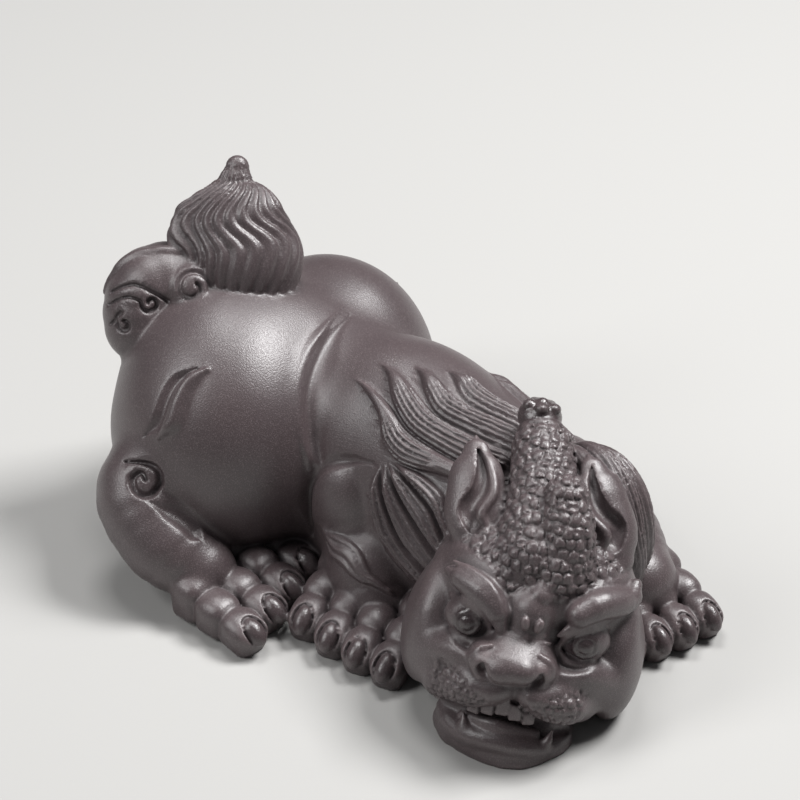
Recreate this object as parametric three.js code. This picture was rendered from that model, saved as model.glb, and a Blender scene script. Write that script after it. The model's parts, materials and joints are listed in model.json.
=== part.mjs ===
import * as THREE from 'three';

// A pixiu crouching with its belly on the ground, its head turned to its own right and its chin down,
// made as one piece of fired clay. X runs across the haunches, Y from the forepaws to the rump, Z up.
// The origin is on the ground under the middle of the figure.

// Size of the whole figure, millimetres
const figureWidth = 93;
const figureLength = 130;
const figureHeight = 74;

// Sizes of the carving, millimetres on the drawn figure
const eyeRadius = 3.9;
const irisRadius = 2.7;
const earLength = 19;
const earWidth = 12.5;
const hornRadius = 7.2;
const toes = 4;
const toeHeight = 7.8;
const tuftWidth = 24.5;
const tuftDepth = 18;
const tuftStrands = 14;
const strandDepth = 1.1;
const maneHeight = 1.9;
const curlWidth = 1.1;
const curlDepth = 1.3;
const toothWidth = 2.5;
const upperTeeth = 5;

// Facets: the pitch of the grid that the surface is sampled on, the number of triangles kept, and how much more
// a departure counts on the face than elsewhere
const gridPitch = 0.8;
const trianglesKept = 9800;
const faceCare = 7;

const vec = (x, y, z) => new THREE.Vector3(x, y, z);
const clamp = (v, low, high) => Math.min(high, Math.max(low, v));
const mix = (a, b, t) => a + (b - a) * t;
const length3 = (x, y, z) => Math.sqrt(x * x + y * y + z * z);
const ease = (a, b, v) => {
  const t = clamp((v - a) / (b - a), 0, 1);
  return t * t * (3 - 2 * t);
};

// A place with its own right, forward and up directions
function frameAt(origin, forward, up) {
  const y = vec(...forward).normalize();
  const x = y.clone().cross(vec(...up)).normalize();
  const z = x.clone().cross(y);
  return new THREE.Matrix4().makeBasis(x, y, z).setPosition(vec(...origin));
}

const world = new THREE.Matrix4();

// Turned by degrees about its own axes and set at a place of a frame
function placeIn(frame, centre, turn) {
  const spin = new THREE.Euler(...turn.map(THREE.MathUtils.degToRad));
  return new THREE.Matrix4().makeRotationFromEuler(spin).setPosition(vec(...centre)).premultiply(frame);
}

// An egg with three radii
function egg(frame, centre, radii, turn = [0, 0, 0]) {
  const placed = placeIn(frame, centre, turn);
  const e = placed.clone().invert().elements;
  const [a, b, c] = radii;
  return {
    middle: vec(0, 0, 0).setFromMatrixPosition(placed),
    reach: Math.max(a, b, c) * 1.05 + 0.5,
    distance(x, y, z) {
      const lx = (e[0] * x + e[4] * y + e[8] * z + e[12]) / a;
      const ly = (e[1] * x + e[5] * y + e[9] * z + e[13]) / b;
      const lz = (e[2] * x + e[6] * y + e[10] * z + e[14]) / c;
      const k0 = length3(lx, ly, lz);
      const k1 = length3(lx / a, ly / b, lz / c);
      return k1 < 1e-9 ? -Math.min(a, b, c) : (k0 * (k0 - 1)) / k1;
    },
  };
}

// A block with three half sizes and rounded edges
function block(frame, centre, halves, round, turn = [0, 0, 0]) {
  const placed = placeIn(frame, centre, turn);
  const e = placed.clone().invert().elements;
  const [a, b, c] = halves.map((half) => half - round);
  return {
    middle: vec(0, 0, 0).setFromMatrixPosition(placed),
    reach: length3(...halves) + 0.5,
    distance(x, y, z) {
      const qx = Math.abs(e[0] * x + e[4] * y + e[8] * z + e[12]) - a;
      const qy = Math.abs(e[1] * x + e[5] * y + e[9] * z + e[13]) - b;
      const qz = Math.abs(e[2] * x + e[6] * y + e[10] * z + e[14]) - c;
      const outside = length3(Math.max(qx, 0), Math.max(qy, 0), Math.max(qz, 0));
      return outside + Math.min(Math.max(qx, qy, qz), 0) - round;
    },
  };
}

// Points along a smooth curve through a few places, each with the radius there
function trace(points, radii, steps) {
  const curve = new THREE.CatmullRomCurve3(points, false, 'centripetal');
  const samples = [];
  for (let i = 0; i <= steps; i += 1) {
    const at = (i / steps) * (radii.length - 1);
    const k = Math.min(radii.length - 2, Math.floor(at));
    samples.push({ p: curve.getPoint(i / steps), r: mix(radii[k], radii[k + 1], ease(0, 1, at - k)), t: i / steps });
  }
  return samples;
}

function ballAround(points, margin) {
  const middle = new THREE.Box3().setFromPoints(points).getCenter(vec(0, 0, 0));
  const reach = Math.max(...points.map((p) => p.distanceTo(middle))) + margin;
  return { middle, reach };
}

// A round limb through a few places, flattened across the up direction of its frame where squash is under 1
function limb(frame, points, radii, squash = 1, steps = 10) {
  const samples = trace(points.map((p) => vec(...p)), radii, steps);
  for (const s of samples) s.q = vec(s.p.x, s.p.y, s.p.z / squash);
  const e = frame.clone().invert().elements;
  return {
    ...ballAround(samples.map((s) => s.p.clone().applyMatrix4(frame)), Math.max(...radii) + 0.3),
    distance(x, y, z) {
      const lx = e[0] * x + e[4] * y + e[8] * z + e[12];
      const ly = e[1] * x + e[5] * y + e[9] * z + e[13];
      const lz = (e[2] * x + e[6] * y + e[10] * z + e[14]) / squash;
      let best = 1e3;
      for (let i = 0; i < steps; i += 1) {
        const a = samples[i].q;
        const b = samples[i + 1].q;
        const dx = b.x - a.x;
        const dy = b.y - a.y;
        const dz = b.z - a.z;
        const along = (lx - a.x) * dx + (ly - a.y) * dy + (lz - a.z) * dz;
        const t = clamp(along / (dx * dx + dy * dy + dz * dz), 0, 1);
        const away = length3(lx - a.x - t * dx, ly - a.y - t * dy, lz - a.z - t * dz);
        best = Math.min(best, away - mix(samples[i].r, samples[i + 1].r, t));
      }
      return best * Math.sqrt(squash);
    },
  };
}

// Soft joins: two forms flow together, or one is hollowed by another, over the width of the blend
function join(d, e, blend) {
  const h = Math.max(blend - Math.abs(d - e), 0) / blend;
  return Math.min(d, e) - (h * h * blend) / 4;
}

function hollow(d, e, blend) {
  return -join(-d, e, blend);
}

// One mass of clay: forms added and hollowed in turn, then relief raised or sunk on its surface
class Mass {
  constructor(blend) {
    this.blend = blend;
    this.steps = [];
    this.relief = [];
  }

  add(form, blend) {
    this.steps.push({ form, blend, cut: false });
  }

  cut(form, blend) {
    this.steps.push({ form, blend, cut: true });
  }

  carve(mark) {
    this.relief.push(mark);
  }

  // A ball around everything added, so that far masses are passed over
  close() {
    const added = this.steps.filter((step) => !step.cut).map((step) => step.form);
    const box = new THREE.Box3();
    for (const { middle, reach } of added) {
      box.union(new THREE.Box3().setFromCenterAndSize(middle, vec(2, 2, 2).multiplyScalar(reach)));
    }
    this.middle = box.getCenter(vec(0, 0, 0));
    this.reach = Math.max(...added.map((form) => form.middle.distanceTo(this.middle) + form.reach)) + 2;
    return this;
  }

  plain(x, y, z) {
    let d = 1e3;
    for (const { form, blend, cut } of this.steps) {
      const gap = length3(x - form.middle.x, y - form.middle.y, z - form.middle.z) - form.reach;
      if (!cut && gap < d + blend) d = join(d, form.distance(x, y, z), blend);
      if (cut && gap < blend - d) d = hollow(d, form.distance(x, y, z), blend);
    }
    return d;
  }

  distance(x, y, z) {
    const d = this.plain(x, y, z);
    if (Math.abs(d) > 5) return d;
    let raised = 0;
    let sunk = 0;
    for (const mark of this.relief) {
      if (length3(x - mark.middle.x, y - mark.middle.y, z - mark.middle.z) > mark.reach) continue;
      const h = mark.height(x, y, z);
      if (h > 0) raised = Math.max(raised, h);
      else sunk = Math.min(sunk, h);
    }
    return d - raised - sunk;
  }

  // Moves a place to the nearest point of the plain surface and gives the direction out of it
  settle(p) {
    const q = p.clone();
    const n = vec(0, 0, 1);
    const e = 0.1;
    for (let i = 0; i < 8; i += 1) {
      const d = this.plain(q.x, q.y, q.z);
      n.set(
        this.plain(q.x + e, q.y, q.z) - this.plain(q.x - e, q.y, q.z),
        this.plain(q.x, q.y + e, q.z) - this.plain(q.x, q.y - e, q.z),
        this.plain(q.x, q.y, q.z + e) - this.plain(q.x, q.y, q.z - e),
      ).normalize();
      q.addScaledVector(n, -d);
    }
    return { p: q, n };
  }
}

// A line drawn on the surface of a mass: samples with the way along it, across it and out of the surface
function drawOn(mass, points, widths, steps) {
  const samples = trace(points.map((p) => vec(...p)), widths, steps);
  for (const s of samples) {
    const { p, n } = mass.settle(s.p);
    s.p = p;
    s.n = n;
  }
  samples.forEach((s, i) => {
    const before = samples[Math.max(0, i - 1)].p;
    const after = samples[Math.min(steps, i + 1)].p;
    s.along = after.clone().sub(before).normalize();
    s.across = s.along.clone().cross(s.n).normalize();
  });
  return samples;
}

// Where a point lies against a drawn line: how far along, how far across, how far off the surface
function measure(samples, x, y, z) {
  let best = 1e9;
  const found = { t: 0, u: 0, v: 0, r: 1, beyond: 0 };
  for (let i = 0; i + 1 < samples.length; i += 1) {
    const a = samples[i];
    const b = samples[i + 1];
    const dx = b.p.x - a.p.x;
    const dy = b.p.y - a.p.y;
    const dz = b.p.z - a.p.z;
    const k = clamp(
      ((x - a.p.x) * dx + (y - a.p.y) * dy + (z - a.p.z) * dz) / (dx * dx + dy * dy + dz * dz + 1e-9), 0, 1);
    const ox = x - a.p.x - k * dx;
    const oy = y - a.p.y - k * dy;
    const oz = z - a.p.z - k * dz;
    const away = ox * ox + oy * oy + oz * oz;
    if (away < best) {
      best = away;
      found.t = mix(a.t, b.t, k);
      found.r = mix(a.r, b.r, k);
      found.u = ox * mix(a.across.x, b.across.x, k) + oy * mix(a.across.y, b.across.y, k)
        + oz * mix(a.across.z, b.across.z, k);
      found.v = ox * mix(a.n.x, b.n.x, k) + oy * mix(a.n.y, b.n.y, k) + oz * mix(a.n.z, b.n.z, k);
      found.beyond = Math.abs(ox * a.along.x + oy * a.along.y + oz * a.along.z);
    }
  }
  return found;
}

// Raised locks of hair side by side, one between each line and the next, each crowned across; a share of the width
// is taken off towards the tip
function sheaf(mass, edges, height, taper = 0) {
  const lines = edges.map((edge) => drawOn(mass, edge, [1, 1], 18));
  const [first, last] = [lines[0], lines[lines.length - 1]];
  const side = Math.sign(first.reduce((sum, s, i) => sum + last[i].p.clone().sub(s.p).dot(s.across), 0));
  return {
    ...ballAround(lines.flat().map((s) => s.p), 1.5),
    height(x, y, z) {
      const found = lines.map((line) => measure(line, x, y, z));
      let best = 0;
      for (let i = 0; i + 1 < found.length; i += 1) {
        const [a, b] = [found[i], found[i + 1]];
        const fromA = side * a.u;
        const fromB = -side * b.u;
        if (fromA < 0 || fromB < 0 || Math.abs(a.v) > 5 || Math.max(a.beyond, b.beyond) > 1) continue;
        const wide = Math.max(fromA + fromB, 1e-3);
        const share = fromA / wide;
        const t = mix(a.t, b.t, share);
        const across = (2 * share - 1) / (1 - taper * ease(0.55, 1, t));
        if (Math.abs(across) >= 1) continue;
        const size = ease(0.2, 2.4, wide) * ease(0, 0.06, t) * (1 - ease(0.96, 1, t));
        best = Math.max(best, height * size * (1 - across * across) ** 0.35);
      }
      return best;
    },
  };
}

// A sunk line, widest in its middle
function groove(mass, points, width, depth, fade = [0.25, 1, 1, 0.25], steps = 14) {
  const samples = drawOn(mass, points, fade.map((f) => f * width), steps);
  return {
    ...ballAround(samples.map((s) => s.p), width + 2),
    height(x, y, z) {
      const m = measure(samples, x, y, z);
      const away = Math.sqrt(m.u * m.u + m.beyond * m.beyond);
      if (away >= m.r || Math.abs(m.v) > 4) return 0;
      const q = 1 - (away / m.r) ** 2;
      return -depth * q * Math.min(1, m.r / width + 0.2);
    },
  };
}

// A raised round ridge on the surface
function ridge(mass, points, width, height, fade = [0.3, 1, 1, 0.3], steps = 14) {
  const mark = groove(mass, points, width, height, fade, steps);
  const sunk = mark.height;
  mark.height = (x, y, z) => -sunk(x, y, z);
  return mark;
}

// Trunk, neck, haunches and shoulders
function trunk() {
  const mass = new Mass(1.2);
  mass.add(egg(world, [3, 36, 22], [26, 25, 29]), 8);
  mass.add(egg(world, [3, 4, 18], [22, 32, 30]), 8);
  mass.add(egg(world, [0, -20, 17], [20, 20, 22]), 8);
  mass.add(limb(world, [[-2, -10, 29], [-4, -26, 27], [-6, -38, 24]], [14, 15, 15]), 8);
  mass.add(egg(world, [-8, 42, 35], [19, 20, 19.4]), 8);
  mass.add(egg(world, [-13, 37.4, 25], [23.4, 24.2, 26.4]), 4);
  mass.add(egg(world, [18, 34, 23.4], [21, 23, 25.4]), 3);
  // Knees and lower legs behind the hind paws
  mass.add(limb(world, [[-28, 41, 24], [-34.4, 42.6, 19.5], [-37.8, 35.3, 13], [-36, 24, 7.5]],
    [10, 9.6, 8.8, 8]), 2.5);
  mass.add(limb(world, [[28, 43, 24], [35, 45.5, 19.5], [38.4, 37, 12.5], [36.4, 24, 7.5]],
    [10, 10, 9, 8]), 2.5);
  // Elbow and forearm of the right foreleg, the left foreleg reaching forward
  mass.add(egg(world, [-12.6, 5.5, 20.5], [8.6, 9.8, 12.7], [0, 0, 10]), 0.5);
  mass.add(limb(world, [[-11, 4, 12], [-17, -1, 9], [-23, -5, 6]], [9, 9.5, 8]), 2.5);
  mass.add(limb(world, [[22, -20, 13], [18.5, -35, 10.5], [11, -46.6, 8]], [11.5, 9.8, 8]), 4);
  // Mane behind the left of the head
  mass.add(egg(world, [-1.8, -41.4, 27], [10.8, 12, 16.6]), 3);
  return mass;
}

// Locks of the mane
function carveMane(mass) {
  // Right side of the neck: four locks that sweep up and back from the ear, each from its tip along both edges
  const sweeps = [
    [[[-5.9, 14.3, 43.9], [-7.7, 7.4, 44], [-10.8, 1, 41.7], [-14.2, -2.5, 38.1], [-15.7, -8, 36.2],
      [-15.4, -18.3, 37.4]],
    [[-5.9, 14.3, 43.9], [-6.7, 6.9, 44.6], [-9.1, -0.7, 43.3], [-11.4, -6.3, 41.5], [-12.3, -13.4, 40.2],
      [-12.9, -20.7, 39.6]]],
    [[[-1.6, 9, 46.8], [-4.6, 3.6, 46], [-8.6, -0.9, 43.6], [-11.4, -6.3, 41.5], [-12.3, -13.4, 40.2],
      [-12.9, -20.7, 39.6]],
    [[-1.6, 9, 46.8], [-2.5, 2.2, 47], [-5.4, -5, 45.3], [-7.2, -9.9, 44.1], [-7.4, -15.9, 43.1],
      [-7.4, -22.8, 42.4]]],
    [[[0.4, 1.8, 47.6], [-2.2, -2.4, 46.6], [-5.2, -6.4, 45.1], [-7.2, -9.9, 44.1], [-7.4, -15.9, 43.1],
      [-7.4, -22.8, 42.4]],
    [[0.4, 1.8, 47.6], [0.6, -3.7, 47.1], [-1.7, -10, 45.7], [-2, -14.9, 44.5], [-1.2, -19.9, 43.8],
      [-0.8, -24.3, 43]]],
    [[[3.4, -4, 48], [1, -8.4, 46.8], [-1.4, -12.4, 45.4], [-1.6, -17, 44.2], [-0.8, -24.3, 43]],
      [[3.4, -4, 48], [5, -10.4, 46.5], [4.6, -17, 45], [5, -24, 43]]],
  ];
  for (const edges of sweeps) mass.carve(sheaf(mass, edges, maneHeight));
  // A fall of locks from the same root down to the forearm
  mass.carve(sheaf(mass, [
    [[-15.4, -3.1, 36.2], [-17.5, -2, 30.4], [-18.5, -3.1, 24.3], [-19, -5.8, 18.5], [-19.4, -11.8, 15]],
    [[-15.4, -3.1, 36.2], [-17.5, -4.8, 31.5], [-18.8, -7.6, 26.4], [-19.6, -11.5, 21.3], [-20.2, -17.1, 17.9]],
    [[-15.3, -3.3, 36.2], [-17.2, -7, 33.2], [-18.5, -11.2, 29.6], [-19.6, -15.2, 26.8], [-20.6, -20.6, 23]],
    [[-15.3, -3.3, 36.2], [-16.4, -8.8, 34.9], [-17.7, -13.9, 33.1], [-18.8, -17.9, 31.2], [-20.3, -22.1, 26.8]],
    [[-15.2, -4.2, 36.5], [-15.6, -10.1, 36.4], [-16.2, -15.2, 36], [-17.1, -19, 34.9], [-19, -22.6, 31.5]],
  ], maneHeight, 0.35));
  // Two flames of hair on the right forearm
  const flames = [
    [[[-20.9, 6.1, 20.6], [-21.8, 2.6, 16.5], [-25.8, -2.8, 14], [-28.1, -5.9, 12]],
      [[-20.9, 6.1, 20.6], [-20.5, 2.3, 19], [-22.1, -2, 16.8], [-25.8, -5.5, 13.5]]],
    [[[-18.4, 1, 26.8], [-18.6, -1.2, 22.8], [-21.1, -3.9, 17], [-23.3, -8.5, 13.3]],
      [[-18.4, 1, 26.8], [-18.3, -2.5, 26.5], [-18.8, -5.5, 21.4], [-19.2, -11.5, 13.1]]],
  ];
  for (const edges of flames) mass.carve(sheaf(mass, edges, maneHeight * 0.8));
  // Left side of the neck: locks that fall from behind the ear, and a plainer sweep over the shoulder
  mass.carve(sheaf(mass, [
    [[2, -30, 40], [-3, -38, 43.5], [-8, -46, 41], [-11, -52, 33], [-10, -54, 22]],
    [[2, -30, 40], [0, -39, 43.6], [-4, -47.5, 41], [-6, -53, 32], [-5, -54, 19]],
    [[3, -30, 40], [4, -38, 42.6], [1.5, -47, 40], [0, -52.8, 31], [1, -53.5, 17]],
    [[4, -29, 40], [8, -36, 40.5], [7, -44.5, 37.5], [6, -50, 29], [7.5, -51, 16]],
    [[5, -28, 40], [12, -33, 37], [12.5, -40, 33], [11.5, -45.5, 26], [12.5, -47, 16]],
  ], maneHeight, 0.35));
  mass.carve(sheaf(mass, [
    [[13.6, -28, 37], [17, -17, 39], [15.5, -6, 43], [11, 4, 46]],
    [[10, -28, 40], [12.6, -17, 42], [11.6, -7, 45], [9, 2, 47]],
    [[6.4, -28, 42], [8.6, -18, 43.6], [8, -9, 46], [6.6, -1, 47.6]],
  ], maneHeight * 0.9));
}

// Comma and curl of each haunch, and the edges and creases of the legs
function carveHaunches(mass) {
  // Comma on the right haunch: a raised blade with a sunk edge behind it
  mass.carve(ridge(mass, [[-24.3, 32.8, 47.4], [-27, 34.8, 45.4], [-30, 35.4, 42.2], [-32.3, 35.4, 38.8],
    [-34.2, 37.4, 35]], curlWidth * 1.7, curlDepth, [0.3, 0.8, 1, 1.1, 0.8]));
  mass.carve(groove(mass, [[-25.2, 34.8, 47.3], [-28.4, 37.6, 45], [-31.4, 38.4, 41.6], [-33.6, 38.6, 38.2],
    [-35, 41.4, 34]], curlWidth * 1.2, curlDepth, [0.3, 1, 1, 1, 0.5]));
  // The same comma, plainer, on the left haunch
  mass.carve(ridge(mass, [[27.6, 27.4, 40.6], [32.4, 30, 37], [35.6, 33, 31], [36.8, 35, 26]],
    curlWidth * 1.7, curlDepth * 0.9, [0.2, 0.9, 1, 0.8]));
  mass.carve(groove(mass, [[28.4, 28.6, 41], [33.4, 33, 37], [36.4, 36, 31], [37, 38, 26]],
    curlWidth * 1.2, curlDepth));
  // Curl over each knee
  mass.carve(groove(mass, [[-38.2, 43.8, 28.8], [-37.3, 40, 29.6], [-36.4, 36.8, 28.6], [-37.4, 35.6, 26.2],
    [-40, 36.4, 24.6], [-41, 39, 25.4], [-39.8, 40.5, 27.2], [-38.4, 39.4, 28], [-38.6, 38.2, 26.9]],
  curlWidth * 0.85, curlDepth, [0.4, 1, 1, 1, 0.6], 30));
  mass.carve(groove(mass, [[39, 45, 28], [38.6, 40.6, 29.6], [38, 37.4, 27.6], [39.4, 37, 24.4],
    [41.6, 39.6, 23.6], [41.6, 42.4, 25.6], [39.8, 41.6, 27.4], [39.4, 40.2, 26.2]],
  curlWidth * 0.85, curlDepth, [0.4, 1, 1, 1, 0.6], 30));
  // Edge in front of the right thigh: a thin ridge with a soft valley ahead of it
  const edge = [[9.9, 24.7, 46.9], [0.4, 22.6, 47.5], [-6.8, 20.9, 45.8], [-12.6, 18.7, 42.5],
    [-16, 16.1, 37.5], [-17.4, 14.5, 33], [-18, 12.7, 27.6]];
  mass.carve(groove(mass, edge.map(([x, y, z]) => [x, y - 1.7, z]), 1.5, 0.7));
  mass.carve(ridge(mass, edge, 1.1, 0.55));
  // Crease between each thigh and lower leg
  mass.carve(groove(mass, [[-40.7, 36.3, 23.9], [-38.4, 31.3, 20.8], [-37.1, 26.9, 18.2], [-36.7, 22.9, 16]],
    1.3, 1.2, [0.4, 1, 1, 0.8]));
  mass.carve(groove(mass, [[41.5, 38, 23], [39.4, 33, 20], [38, 28, 17.6], [37.4, 24, 15.6]],
    1.3, 1.2, [0.4, 1, 1, 0.8]));
}

// A paw: four toes side by side, each a row of tip, knuckle and instep, with an oval claw set into the tip
function paw(firstClaw, lastClaw, heading, bow = 1) {
  const mass = new Mass(1);
  const forward = vec(...heading).normalize();
  const step = vec(...lastClaw).sub(vec(...firstClaw)).divideScalar(toes - 1);
  const half = step.clone().cross(forward).length() * 0.5;
  for (let i = 0; i < toes; i += 1) {
    const ahead = bow * Math.sin((Math.PI * (i + 0.5)) / toes);
    const claw = vec(...firstClaw).addScaledVector(step, i).addScaledVector(forward, ahead);
    const h = toeHeight;
    const segment = (back, height, long, tall, lean) => {
      const at = frameAt([claw.x - forward.x * back, claw.y - forward.y * back, height], heading, [0, 0, 1]);
      mass.add(block(at, [0, 0, 0], [half, long, tall], 2.2, [lean, 0, 0]), 0.5);
      mass.add(egg(at, [0, 0, tall * 0.24], [half * 1.05, long * 1.02, tall * 0.94], [lean, 0, 0]), 0.9);
    };
    segment(15, h * 0.66, 3.8, h * 0.62, 0);
    segment(8.2, h * 0.54, 4, h * 0.54, 0);
    segment(1.2, h * 0.43, 4.3, h * 0.48, -14);
    const nail = frameAt([claw.x + forward.x * 2, claw.y + forward.y * 2, h * 0.66], heading, [0, 0, 1]);
    mass.cut(egg(nail, [0, 0.2, 0.5], [half * 0.7, 3.6, 1.7], [-40, 0, 0]), 0.3);
    mass.add(egg(nail, [0, 0, 0], [half * 0.55, 3.2, 2.1], [-40, 0, 0]), 0.12);
  }
  return mass;
}

// The head's own directions: it looks to the figure's right, a little up, and leans to its left
const head = frameAt([-20.9, -40.4, 17.9], [-0.847, -0.47, 0.249], [0.288, -0.011, 0.958]);

// The face is set a little to one side of the head: a row of places on one side of it
const faceShift = -0.5;
const pairOf = (side, points) => points.map(([x, y, z]) => [side * x + faceShift, y, z]);

// Skull, jaw and a broad muzzle from cheek to cheek, with a pad on each side of the nose
function headMass() {
  const mass = new Mass(0.8);
  mass.add(egg(head, [-0.5, -4, 3], [19.8, 19, 18]), 3);
  mass.add(egg(head, [-1, 3, 9], [17.5, 12, 11.5]), 5);
  mass.add(block(head, [-0.5, 5, -20.2], [12.6, 10, 6], 4, [0, -7, 0]), 3);
  mass.add(limb(head, [[10.4, 9, -20.6], [5, 13.6, -21.6], [-3, 15.4, -22.6], [-9.4, 12.2, -23.2]],
    [3.2, 3.9, 4.4, 4]), 1.5);
  mass.add(block(head, [0, 5.5, -7.6], [17, 10.5, 7.2], 5), 2.5);
  mass.add(block(head, [0.3, 9, -5.6], [12.5, 10, 6.2], 4.6), 3);
  mass.add(egg(head, [12.6, 9, -10.4], [5, 6.6, 5.4]), 2.5);
  for (const side of [-1, 1]) {
    mass.add(egg(head, ...pairOf(side, [[18.2, 1, -5.6]]), [5.2, 11, 11.5]), 3);
    mass.add(egg(head, ...pairOf(side, [[7, 15.2, -8.2]]), [8, 6.6, 5], [0, side * 20, side * -20]), 1.5);
    mass.add(egg(head, ...pairOf(side, [[3.8, 17, -7.4]]), [4.6, 5.4, 3.4], [0, side * 30, 0]), 1.2);
    mass.add(limb(head, pairOf(side, [[18.4, 2, 11], [18, 5, 6], [17, 8, 1], [14.2, 11.4, -2.4]]),
      [2.4, 3, 3.2, 2.6]), 2.5);
  }
  // Mouth, open a little
  mass.cut(limb(head, [[15.5, 10, -16.6], [8, 16.4, -15.8], [1.5, 19, -13.6], [-6, 17.2, -15.8],
    [-14, 10.5, -16.2]], [0.9, 1.9, 2.7, 1.9, 0.9], 1, 14), 0.6);
  brows(mass);
  eyes(mass);
  nose(mass);
  mouth(mass);
  return mass;
}

// Thick brows that overhang the eyes, and between them a pointed boss with two buttons
function brows(mass) {
  for (const side of [-1, 1]) {
    mass.cut(egg(head, ...pairOf(side, [[10.4, 17.4, 3]]), [6.6, 4.6, 4.2], [0, side * -20, side * -26]), 1);
  }
  // Right brow, with a thin ridge along each edge
  mass.add(limb(head, [[4.4, 16.6, 3.8], [6, 16, 7.2], [9, 14.3, 9.2], [12.6, 11.9, 9.8], [15.6, 9.2, 9.4]],
    [1, 2, 2.4, 2.1, 1]), 0.9);
  mass.add(limb(head, [[4.2, 17.6, 3.8], [5.2, 17.4, 8], [8, 15.6, 11.2], [12, 12.6, 12.2], [15.4, 9.4, 11.8]],
    [0.4, 0.7, 0.8, 0.7, 0.3]), 0.6);
  mass.add(limb(head, [[4.9, 17.4, 3.6], [7.4, 16.9, 6.4], [10.6, 15, 7.7], [14, 11.6, 7.8]],
    [0.4, 0.7, 0.7, 0.3]), 0.6);
  // Left brow: a thick roll, hooked up at its outer end
  mass.add(limb(head, [[-9.4, 15.4, 8.9], [-12.4, 13.2, 10.5], [-15.6, 10.2, 10.5], [-18.4, 7, 10],
    [-19.6, 4.8, 12.8]], [2.3, 2.7, 2.6, 2.2, 1]), 0.9);
  mass.add(limb(head, [[-6, 17, 4.4], [-8, 16.8, 6.6], [-11.4, 14.6, 7.5], [-15, 10.8, 7.2]],
    [0.5, 0.9, 0.9, 0.4]), 0.5);
  mass.add(limb(head, [[-0.5, 13.6, 2.6], [-0.6, 13.6, 6.6], [-1.6, 14.6, 10.4], [-2.6, 14.8, 13.4]],
    [4.4, 4.8, 2.6, 0.5]), 0.8);
  for (const side of [-1, 1]) {
    mass.add(egg(head, [-1.1 + side * 1.3, 18.6, 6.4], [0.85, 0.7, 1.5], [0, side * 14, 0]), 0.2);
  }
}

// Bulging eyes with a raised iris and pupil, and lids that meet at the inner corner
function eyes(mass) {
  const r = eyeRadius;
  const iris = irisRadius;
  for (const side of [-1, 1]) {
    const lean = [0, 0, side * -12];
    mass.add(egg(head, ...pairOf(side, [[11, 12.2, 2.9]]), [r * 1.05, r, r]), 0.2);
    mass.add(egg(head, ...pairOf(side, [[11.2, 15.4, 2.9]]), [iris, 1.2, iris], lean), 0.1);
    mass.add(egg(head, ...pairOf(side, [[11.3, 16, 2.9]]), [iris * 0.5, 1.3, iris * 0.5], lean), 0.1);
    mass.add(limb(head, pairOf(side, [[5.2, 16.6, 0.8], [8, 16.2, -0.6], [11.8, 14.8, -0.9], [15, 9.8, 2]]),
      [0.5, 1, 1.1, 0.6]), 0.5);
    mass.add(limb(head, pairOf(side, [[5.2, 16.8, 1.4], [7.4, 16.6, 4.9], [11, 15.2, 6.5], [14.8, 9.8, 5.2]]),
      [0.5, 1, 1.1, 0.6]), 0.5);
  }
}

// Broad nose: wrinkles over the bridge, a wide tip and two wings that curl around the nostrils
function nose(mass) {
  mass.add(limb(head, [[-0.4, 14.5, 2.6], [0, 16.6, 0], [0.6, 18, -2.2]], [4.2, 4.4, 4.4]), 1.5);
  mass.add(egg(head, [1, 19.6, -1.9], [5.4, 4.8, 3.9]), 1);
  mass.add(egg(head, [2.6, 21.6, -2.6], [2.9, 2.6, 2.6]), 1);
  mass.add(egg(head, [-0.6, 21.8, -1.6], [2.9, 2.6, 2.6]), 1);
  for (const side of [-1, 1]) {
    const x = (v) => 1 + side * v;
    mass.add(egg(head, [x(5.3), 18.2, -2.2], [2.6, 3.6, 3.1]), 0.8);
    mass.cut(limb(head, [[x(4.1), 22.4, -4], [x(5), 21.6, -3.2], [x(4.8), 20.9, -1.9]], [0.9, 1, 0.3]), 0.4);
    mass.add(limb(head, [[x(4.6), 19.9, 1.2], [x(6.6), 20, 0.1], [x(7.3), 19.8, -2.2], [x(5.9), 20.4, -4.6],
      [x(3.4), 21.2, -5.3]], [0.4, 0.7, 0.9, 0.9, 0.5], 1, 14), 0.35);
  }
  for (const [z, w] of [[1.4, 4], [2.6, 4.6], [3.7, 3.4]]) {
    mass.add(limb(head, [[w - 0.5, 17 - z * 0.1, z + 0.7], [-0.4, 19.5 - z * 0.42, z],
      [-w - 0.5, 17 - z * 0.1, z]], [0.3, 0.6, 0.3]), 0.4);
  }
}

// Upper teeth under the lip, the tongue, a fang at each corner, and the lower lip
function mouth(mass) {
  for (let i = 0; i < upperTeeth; i += 1) {
    const x = (i - (upperTeeth - 1) / 2) * toothWidth + 1.2;
    const z = -11.8 - Math.abs(x - 1.4) * 0.3;
    mass.add(block(head, [x, 19.4 - x * x * 0.05, z], [toothWidth * 0.47, 1.3, 1.6], 0.45), 0.1);
  }
  for (const side of [-1, 1]) {
    mass.add(limb(head, pairOf(side, [[7.4, 16.2, -19.6], [8, 16.6, -17.6], [8.5, 16, -15.4]]),
      [1.3, 0.9, 0.25]), 0.2);
  }
  mass.add(limb(head, [[8, 14.4, -16.6], [1.5, 17.8, -15.7], [-6, 15.8, -16.8]], [0.9, 1.3, 0.9]), 0.3);
  mass.add(limb(head, [[12, 9.5, -18], [10, 13.6, -19.2], [5.6, 16.8, -19.2], [0.5, 18.2, -18.7],
    [-4, 17.8, -19], [-8.4, 15, -19.8], [-11.6, 10.4, -18.8]], [1.2, 1.7, 1.9, 1.9, 1.9, 1.7, 1.2], 1, 14), 0.8);
}

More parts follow.
